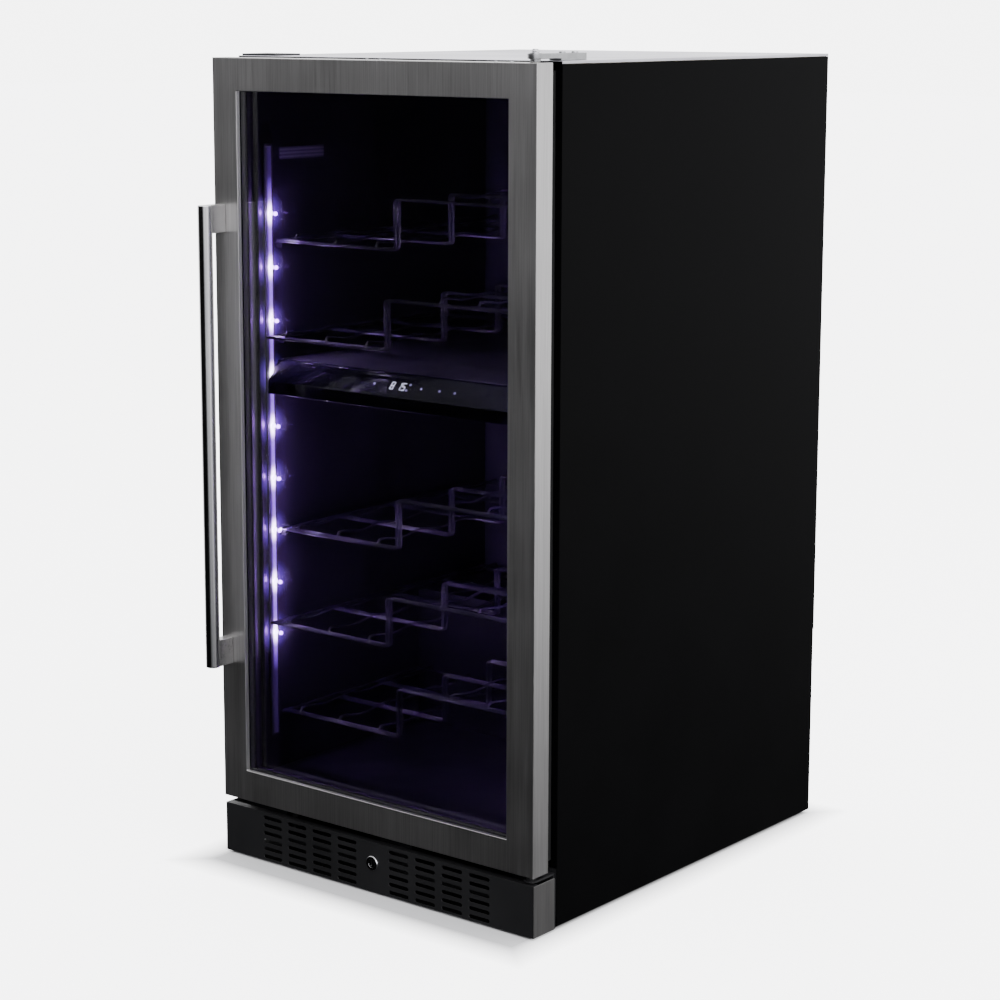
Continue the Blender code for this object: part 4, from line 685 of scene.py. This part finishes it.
def screw_group(name, places, out, radius, height, body):
    """Several equal screws as one piece: the first is modelled, the others are its copies."""
    first = screw_head(name, places[0], out, radius, height)
    start = Vector(places[0])
    parts = [first] + [copied(first, Vector(place) - start) for place in places[1:]]
    finish(joined(name, parts), body, ZINC)


def all_screws():
    y = DOOR_LOW.y + 0.0160
    top = DOOR_HIGH.z
    screw_group("door_top_screws", [(x, y, top) for x in (-0.012, 0.012, 0.216, 0.243)],
                (0, 0, 1), EDGE_SCREW, 0.0009, "door")
    low = DOOR_LOW.z
    screw_group("door_foot_screws", [(x, y, low) for x in (0.012, 0.216, 0.246)],
                (0, 0, -1), EDGE_SCREW, 0.0014, "door")
    hinge_top = HINGE_HIGH.z
    screw_group("hinge_bolts", [(HINGE_X, FRONT_Y + back, hinge_top) for back in (0.018, 0.046)],
                (0, 0, 1), HINGE_BOLT, 0.0018, "cabinet")
    rear = BACK_HIGH.y
    sides = (BACK_LOW.x + 0.008, BACK_HIGH.x - 0.008)
    heights = [BACK_LOW.z + 0.012 + (BACK_HIGH.z - BACK_LOW.z - 0.024) * i / 5 for i in range(6)]
    screw_group("back_screws", [(x, rear, z) for x in sides for z in heights],
                (0, 1, 0), SHEET_SCREW, 0.0016, "cabinet")
    cover_rear = COVER_HIGH.y
    cover_x = (COVER_LOW.x + 0.010, 0.0, COVER_HIGH.x - 0.010)
    cover_z = (COVER_LOW.z + 0.008, COVER_HIGH.z - 0.010)
    screw_group("cover_screws", [(x, cover_rear, z) for x in cover_x for z in cover_z],
                (0, 1, 0), SHEET_SCREW, 0.0016, "cabinet")
    face_x = LINER_HIGH.x + 0.018
    face_z = (0.20, 0.65, 1.10)
    screw_group("face_screws", [(side * face_x, FRONT_Y, z) for side in (-1, 1) for z in face_z],
                (0, -1, 0), FACE_SCREW, 0.0010, "cabinet")


# ---- hinge trim and caps ---------------------------------------------------------------------
def hinge_cap():
    """Flat plastic cap over the hinge holes that a left-hung door would use."""
    low = (-SIDE_HIGH.x + 0.0015, FRONT_Y + 0.006, ROOF_TOP)
    high = (-SIDE_HIGH.x + 0.068, FRONT_Y + 0.060, ROOF_TOP + 0.0030)
    cap = cube("hinge_hole_cap", low, high)
    bpy.ops.object.mode_set(mode="EDIT")
    bpy.ops.mesh.select_mode(type="FACE")
    bpy.ops.mesh.select_all(action="DESELECT")
    bpy.ops.object.mode_set(mode="OBJECT")
    for face in cap.data.polygons:
        face.select = face.normal.z > 0.9
    bpy.ops.object.mode_set(mode="EDIT")
    bpy.ops.mesh.inset(thickness=0.004)
    bpy.ops.transform.translate(value=(0, 0, -0.0006))
    bpy.ops.object.mode_set(mode="OBJECT")
    finish(eased(cap, 0.0007, 3), "cabinet", MATT_BLACK)


def hinge_washers():
    """A washer and a cap nut over the hinge pin."""
    x = HINGE_X
    y = HINGE_LOW.y + (HINGE_HIGH.x - HINGE_LOW.x) / 2
    top = HINGE_HIGH.z
    disc = cylinder("pin_washer", 0.0082, (x, y, top), (x, y, top + 0.0011), 48)
    eased(disc, 0.0003, 2)
    nut = cylinder("pin_nut", 0.0056, (x, y, top + 0.0011), (x, y, top + 0.0048), 6)
    eased(nut, 0.0007, 3)
    dome = cylinder("pin_dome", 0.0040, (x, y, top + 0.0047), (x, y, top + 0.0062), 32)
    eased(dome, 0.0012, 4)
    finish(joined("hinge_pin_nut", [disc, nut, dome]), "cabinet", CHROME)


def side_edge_lip():
    """Thin lip where the roof sheet folds over the side, beside the hinge, pale with the roof's
    painted reflection.
    """
    x = SIDE_HIGH.x
    lip = cube("roof_fold_lip", (x - 0.0002, FRONT_Y + 0.0005, ROOF_TOP - 0.0036),
               (x + 0.0004, HINGE_HIGH.y, ROOF_TOP - 0.0004))
    finish(eased(lip, 0.00015, 2), "cabinet", ROOF_PAINTED_REFLECTION)


# ---- racks ---------------------------------------------------------------------------------------
def arc(centre, radius, start, end, steps=6):
    """Points on an arc seen from the front, both ends included."""
    points = []
    for i in range(steps + 1):
        angle = math.radians(start + (end - start) * i / steps)
        points.append((centre[0] + radius * math.cos(angle), centre[1] + radius * math.sin(angle)))
    return points


def cross_wire(name, y, level, half):
    """Stepped wire from side to side: low on the left, high on the right."""
    high = level + RACK_STEP
    outline = [(-half, level)]
    outline += arc((RISER_X - BEND, level + BEND), BEND, -90, 0)
    outline += arc((RISER_X + BEND, high - BEND), BEND, 180, 90)
    outline.append((half, high))
    return wire(name, [(x, y, z) for x, z in outline], RACK_WIRE / 2)


def cradle_wire(name, x, level, front, rear):
    """Wire from front to back with a dip for each bottle, bent over at both ends."""
    points = [(x, front, level - 0.0025), (x, front + 0.0008, level + 0.0015)]
    steps = 10
    count = max(1, int((rear - front - 0.02) / CRADLE_PITCH))
    pitch = (rear - front - 0.012) / count
    start = front + 0.006
    for i in range(count * steps + 1):
        along = i / steps
        height = level + 0.0042 + CRADLE_WAVE * (0.5 + 0.5 * math.cos(math.tau * along))
        points.append((x, start + pitch * along, height))
    points += [(x, rear - 0.0008, level + 0.0015), (x, rear, level - 0.0025)]
    return wire(name, points, CRADLE_WIRE / 2)


def wire_rack(number):
    """Stepped rack: doubled cross wires, a single one at the rear, wavy cradle wires."""
    node = f"rack_{number}"
    low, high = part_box(node)
    radius = RACK_WIRE / 2
    level = low.z + radius
    half = high.x
    front = low.y + radius
    rear = high.y - radius
    parts = [
        cross_wire(f"{node}_front", front, level, half),
        cross_wire(f"{node}_front_under", front + TWIN_GAP, level, half),
        cross_wire(f"{node}_rear", rear, level, half),
    ]
    inner = 3 if rear - front > 0.4 else 2
    for i in range(inner):
        y = front + (rear - front) * (i + 1) / (inner + 1)
        parts.append(cross_wire(f"{node}_cross_{i}", y, level, half))
        parts.append(cross_wire(f"{node}_cross_twin_{i}", y + TWIN_GAP, level, half))
    for side in (-1, 1):
        height = level if side < 0 else level + RACK_STEP
        x = side * half
        ends = [(x, front - radius, height), (x, rear + radius, height)]
        parts.append(wire(f"{node}_side_{side}", ends, radius))
        for share in CRADLE_PLACES:
            inset = share * (half + side * RISER_X)
            parts.append(cradle_wire(f"{node}_cradle_{side}_{share}", side * (half - inset), height,
                                     front, rear))
    rack = joined(f"wire_rack_{number}", parts)
    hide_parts(node)
    finish(rack, "cabinet", RACK_COAT)


# ---- lights and control panel -------------------------------------------------------------------
def lamp_lenses(side):
    """Small domed lens over each lamp of a light strip."""
    low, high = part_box("led_strip_left" if side < 0 else "led_strip_right")
    face = high.x if side < 0 else low.x
    inward = -side
    first = cylinder(f"lamp_{side}", LAMP_RADIUS, (face, LAMP_Y, LAMP_FIRST),
                     (face + inward * LAMP_RISE, LAMP_Y, LAMP_FIRST), 24)
    eased(first, 0.0011, 4)
    parts = [first]
    for i in range(1, LAMP_COUNT):
        parts.append(copied(first, (0, 0, LAMP_PITCH * i)))
    name = "lamp_lenses_left" if side < 0 else "lamp_lenses_right"
    finish(joined(name, parts), "cabinet", LAMP)


def strip_channel(side):
    """Slim black channel that holds a light strip to the wall."""
    low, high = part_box("led_strip_left" if side < 0 else "led_strip_right")
    parts = []
    for y in (low.y - 0.0022, high.y + 0.0004):
        parts.append(cube(f"channel_{side}_{y:.3f}", (low.x, y, low.z - 0.004),
                          (high.x, y + 0.0018, high.z + 0.004)))
    for z in (low.z - 0.0045, high.z + 0.0003):
        parts.append(cube(f"channel_end_{side}_{z:.3f}", (low.x, low.y - 0.0004, z),
                          (high.x, high.y + 0.0004, z + 0.0042)))
    name = "strip_channel_left" if side < 0 else "strip_channel_right"
    channel = eased(joined(name, parts), 0.0004, 2)
    finish(channel, "cabinet", MATT_BLACK)


# each digit's lit bars: top, upper right, lower right, foot, lower left, upper left, middle
LIT_BARS = {"1": (1, 2), "5": (0, 2, 3, 5, 6), "8": (0, 1, 2, 3, 4, 5, 6)}


def lit_digit(digit, left):
    """Seven-bar figure lying flat, its left foot at (left, 0)."""
    w = DIGIT_WIDTH
    h = DIGIT_HEIGHT
    t = DIGIT_STROKE
    places = [
        ((left, h - t), (left + w, h)), ((left + w - t, h / 2), (left + w, h)),
        ((left + w - t, 0), (left + w, h / 2)), ((left, 0), (left + w, t)),
        ((left, 0), (left + t, h / 2)), ((left, h / 2), (left + t, h)),
        ((left, (h - t) / 2), (left + w, (h + t) / 2)),
    ]
    parts = []
    trim = t * 0.22
    for index in LIT_BARS[digit]:
        (x0, y0), (x1, y1) = places[index]
        parts.append(cube(f"bar_{digit}_{index}", (x0 + trim, y0 + trim, 0),
                          (x1 - trim, y1 - trim, MARK_THICK)))
    return parts


def lean_over(piece):
    """Lean flat figures to the right."""
    for vertex in piece.data.vertices:
        vertex.co.x += vertex.co.y * DIGIT_LEAN


def on_fascia(piece, x, rise):
    """Lean a flat piece on the slope of the control panel."""
    only(piece)
    lip_z = FASCIA_LOW.z + 0.019
    slope = math.atan2(FASCIA_HIGH.z - lip_z, 0.023)
    piece.rotation_euler = (slope, 0, 0)
    piece.location = (x, FASCIA_LOW.y + rise * math.cos(slope) - 0.00022 * math.sin(slope),
                      lip_z + rise * math.sin(slope) + 0.00022 * math.cos(slope))
    return settle(piece)


def ring_symbol(name, radius, stroke):
    """Flat ring, for the on-off and lamp marks."""
    bpy.ops.object.select_all(action="DESELECT")
    bpy.ops.mesh.primitive_circle_add(vertices=32, radius=radius, fill_type="NGON", location=(0, 0, 0))
    ring = made(name)
    bpy.ops.object.mode_set(mode="EDIT")
    bpy.ops.mesh.select_all(action="SELECT")
    bpy.ops.mesh.inset(thickness=stroke)
    bpy.ops.mesh.delete(type="FACE")
    bpy.ops.mesh.select_all(action="SELECT")
    bpy.ops.mesh.extrude_region_move(TRANSFORM_OT_translate={"value": (0, 0, MARK_THICK)})
    bpy.ops.mesh.select_all(action="SELECT")
    bpy.ops.mesh.normals_make_consistent(inside=False)
    bpy.ops.object.mode_set(mode="OBJECT")
    return ring


def arrow_symbol(name, up):
    """Flat triangle, for the warmer and cooler marks."""
    bpy.ops.object.select_all(action="DESELECT")
    turn = math.radians(90 if up else -90)
    bpy.ops.mesh.primitive_cylinder_add(vertices=3, radius=0.0024, depth=MARK_THICK,
                                        location=(0, 0, MARK_THICK / 2),
                                        rotation=(0, 0, turn - math.pi / 2))
    arrow = settle(made(name))
    return eased(arrow, 0.0001, 1)


def display():
    """Two temperatures and the touch marks on the control panel."""
    step = DIGIT_WIDTH + DIGIT_GAP
    parts = lit_digit("8", -0.0215)
    parts += lit_digit("1", -0.0085)
    parts += lit_digit("5", -0.0085 + step)
    figures = joined("display_figures", parts)
    lean_over(figures)
    finish(on_fascia(figures, 0.0, FIGURE_RISE), "cabinet", DIGIT)
    marks = []
    for x, y, kind in ((-0.0520, 0.5, "down"), (0.0140, 0.85, "ring"), (0.0105, 0.1, "ring"),
                       (0.0360, 0.5, "up"), (0.0700, 0.5, "ring"), (0.0980, 0.5, "ring")):
        if kind == "ring":
            mark = ring_symbol(f"mark_{x:.3f}", 0.0016, 0.0006)
        else:
            mark = arrow_symbol(f"mark_{x:.3f}", kind == "up")
        mark.location = (x, DIGIT_HEIGHT * y, 0)
        marks.append(settle(mark))
    symbols = joined("display_marks", marks)
    finish(on_fascia(symbols, 0.0, FIGURE_RISE), "cabinet", MARK)


def wall_label():
    """Blank rating plate on the left wall near the top."""
    x = -LINER_INNER
    label = cube("blank_label", (x + 0.0002, FRONT_Y + LABEL_DEPTH[0], LABEL_HEIGHT[0]),
                 (x + 0.0006, FRONT_Y + LABEL_DEPTH[1], LABEL_HEIGHT[1]))
    finish(eased(label, 0.00015, 1), "cabinet", LABEL)


def sensor_bulb(name, x, y, z):
    """Slotted cover of a temperature sensor, on the liner's wall."""
    low = (x - 0.010, y - 0.014, z - 0.020)
    high = (x, y + 0.014, z + 0.020)
    cover = cube(name, low, high)
    for rise in (-0.010, 0.0, 0.010):
        slot = cube(f"{name}_slot", (x - 0.012, y - 0.009, z + rise - 0.0018),
                    (x - 0.006, y + 0.009, z + rise + 0.0018))
        only(cover)
        bpy.ops.object.modifier_add(type="BOOLEAN")
        cover.modifiers[-1].object = slot
        cover.modifiers[-1].operation = "DIFFERENCE"
        bpy.ops.object.modifier_apply(modifier=cover.modifiers[-1].name)
        bpy.data.objects.remove(slot)
    finish(eased(cover, 0.0008, 3), "cabinet", DUCT_BLACK)


# ---- studio --------------------------------------------------------------------------------------
def studio_floor():
    """Wide pale floor. It doesn't show in reflections, as in a tented studio. Its glow fades out round
    the cooler's foot, a painted contact shadow, and under the kick plate it is painted near black, a
    painted shadow.
    """
    bpy.ops.object.select_all(action="DESELECT")
    bpy.ops.mesh.primitive_plane_add(size=60, location=(0, 0, 0))
    floor = made("studio_floor")
    look = blank("pale_floor", (0.86, 0.86, 0.865), 0.7, 0.0, 0.1)
    cloud = noise(look, 1.5, (1, 1, 1), 2.0)
    pale = shades(look, cloud, [(0.3, (0.85, 0.85, 0.855)), (0.7, (0.87, 0.87, 0.875))])
    shader_of(look).inputs["Emission Color"].default_value = (0.86, 0.86, 0.865, 1)
    x, y, _ = places_on(look)
    sides = []
    for along, half in ((x, SIDE_HIGH.x), (y, SIDE_HIGH.y)):
        share = worked(look, "ABSOLUTE", along, 0.0)
        sides.append(span(look, share, half - 0.01, half + 0.05, 0.0, 1.0))
    # Painted contact shadow: no glow on the cooler's footprint, rising to full glow from just inside
    # its edge to 5 cm beyond it.
    outside = worked(look, "MAXIMUM", sides[0], sides[1])
    drive(look, span(look, outside, 0.0, 1.0, 0.0, FLOOR_LIFT), "Emission Strength")
    # Painted shadow: the floor under the cooler, behind the kick plate, is painted near black.
    under = span(look, y, KICK_LOW.y + 0.002, KICK_LOW.y + 0.008, 0.0, 1.0)
    within = span(look, sides[0], 0.0, 0.15, 1.0, 0.0)
    ahead = span(look, y, SIDE_HIGH.y - 0.010, SIDE_HIGH.y, 1.0, 0.0)
    painted_shadow_share = worked(look, "MULTIPLY", worked(look, "MULTIPLY", under, within), ahead)
    dark = look.node_tree.nodes.new("ShaderNodeMix")
    dark.data_type = "RGBA"
    dark.inputs["B"].default_value = (0.004, 0.004, 0.004, 1)
    look.node_tree.links.new(painted_shadow_share, dark.inputs["Factor"])
    look.node_tree.links.new(pale, dark.inputs["A"])
    drive(look, dark.outputs["Result"], "Base Color")
    floor.data.materials.append(look)
    floor.visible_glossy = False
    floor.visible_diffuse = False
    floor.visible_transmission = False


def studio_air():
    """Surroundings: bright behind and to the right, dim in front, dark low down."""
    world = bpy.data.worlds.new("studio")
    world.use_nodes = True
    bpy.context.scene.world = world
    tree = world.node_tree
    background = tree.nodes["Background"]
    coords = tree.nodes.new("ShaderNodeTexCoord")
    split = tree.nodes.new("ShaderNodeSeparateXYZ")
    tree.links.new(coords.outputs["Generated"], split.inputs["Vector"])

    def ramp(source, stops):
        node = tree.nodes.new("ShaderNodeValToRGB")
        keys = node.color_ramp.elements
        while len(keys) < len(stops):
            keys.new(0.5)
        for key, (place, grey) in zip(keys, stops):
            key.position = place
            key.color = (grey, grey, grey * 1.02, 1.0)
        shift = tree.nodes.new("ShaderNodeMapRange")
        shift.inputs["From Min"].default_value = -1.0
        shift.inputs["From Max"].default_value = 1.0
        tree.links.new(source, shift.inputs["Value"])
        tree.links.new(shift.outputs["Result"], node.inputs["Fac"])
        return node.outputs["Color"]

    def mix(kind, a, b, share):
        node = tree.nodes.new("ShaderNodeMix")
        node.data_type = "RGBA"
        node.blend_type = kind
        if isinstance(share, float):
            node.inputs["Factor"].default_value = share
        else:
            tree.links.new(share, node.inputs["Factor"])
        tree.links.new(a, node.inputs["A"])
        tree.links.new(b, node.inputs["B"])
        return node.outputs["Result"]

    front = ramp(split.outputs["Z"], [
        (0.36, 0.002), (0.485, 0.004), (0.53, 0.22), (0.72, 0.60), (0.9, 0.9)])
    rear = ramp(split.outputs["Z"], [(0.33, 0.04), (0.38, 0.45), (0.43, 1.8), (0.60, 2.0), (0.9, 1.6)])
    depth = ramp(split.outputs["Y"], [(0.30, 0.0), (0.62, 1.0)])
    flank = ramp(split.outputs["X"], [(0.40, 0.0), (0.58, 0.0), (0.82, 4.2)])
    low_cut = ramp(split.outputs["Z"], [(0.36, 0.02), (0.46, 0.30), (0.53, 1.0)])
    lit_flank = mix("MULTIPLY", flank, low_cut, 1.0)
    around = mix("MIX", mix("ADD", front, lit_flank, 0.8), rear, depth)
    path = tree.nodes.new("ShaderNodeLightPath")
    pale = tree.nodes.new("ShaderNodeRGB")
    pale.outputs[0].default_value = (6.0, 6.0, 6.02, 1)
    seen = mix("MIX", around, pale.outputs[0], path.outputs["Is Camera Ray"])
    tree.links.new(seen, background.inputs["Color"])
    background.inputs["Strength"].default_value = 1.0


def area_light(name, place, target, size, power, color=(1, 1, 1)):
    """Soft square light that looks at a point."""
    light = bpy.data.lights.new(name, "AREA")
    light.shape = "RECTANGLE"
    light.size = size[0]
    light.size_y = size[1]
    light.energy = power
    light.color = color
    lamp = bpy.data.objects.new(name, light)
    bpy.context.scene.collection.objects.link(lamp)
    lamp.location = place
    lamp.rotation_euler = (Vector(target) - Vector(place)).to_track_quat("-Z", "Y").to_euler()
    return lamp


def studio_lights():
    area_light("top_softbox", (0.3, 0.2, 3.4), (0, 0, 0), (3.0, 3.0), 70)
    area_light("left_fill", (-3.2, -2.6, 3.0), (0, 0, 1.1), (1.6, 2.2), 3)
    for side in (-1, 1):
        for i in range(LAMP_COUNT):
            light = bpy.data.lights.new(f"strip_lamp_{side}_{i}", "POINT")
            light.energy = DIM_LAMP_WATTS if side > 0 and i >= LAMP_COUNT - DIM_LAMPS else LAMP_WATTS
            light.color = (0.48, 0.18, 1.0)
            light.shadow_soft_size = 0.003
            lamp = bpy.data.objects.new(light.name, light)
            bpy.context.scene.collection.objects.link(lamp)
            lamp.location = (side * 0.2445, LAMP_Y, LAMP_FIRST + LAMP_PITCH * i)
            lamp.visible_camera = False


def camera():
    """Long lens at standing height, off the front right corner."""
    lens = bpy.data.cameras.new("main_camera")
    lens.lens = 89.358
    lens.sensor_width = 36.0
    lens.shift_x = 0.0370
    lens.shift_y = -0.045
    lens.clip_end = 100
    holder = bpy.data.objects.new("main_camera", lens)
    bpy.context.scene.collection.objects.link(holder)
    holder.location = (2.2910, -2.9329, 1.2766)
    holder.rotation_euler = (math.radians(90 - 10.239), 0, math.radians(39.2555))
    bpy.context.scene.camera = holder


# ---- the whole cooler ----------------------------------------------------------------------------
finish_frame_parts()
refine_frame_parts()
handle_bar()
handle_screws()
all_screws()
hinge_cap()
hinge_washers()
side_edge_lip()
for rack_number in range(1, 6):
    wire_rack(rack_number)
for wall_side in (-1, 1):
    lamp_lenses(wall_side)
    strip_channel(wall_side)
display()
wall_label()
sensor_bulb("upper_sensor", LINER_INNER, 0.05, 1.10)
sensor_bulb("lower_sensor", LINER_INNER, 0.05, 0.64)
studio_floor()
studio_air()
studio_lights()
camera()

bpy.context.view_layer.update()
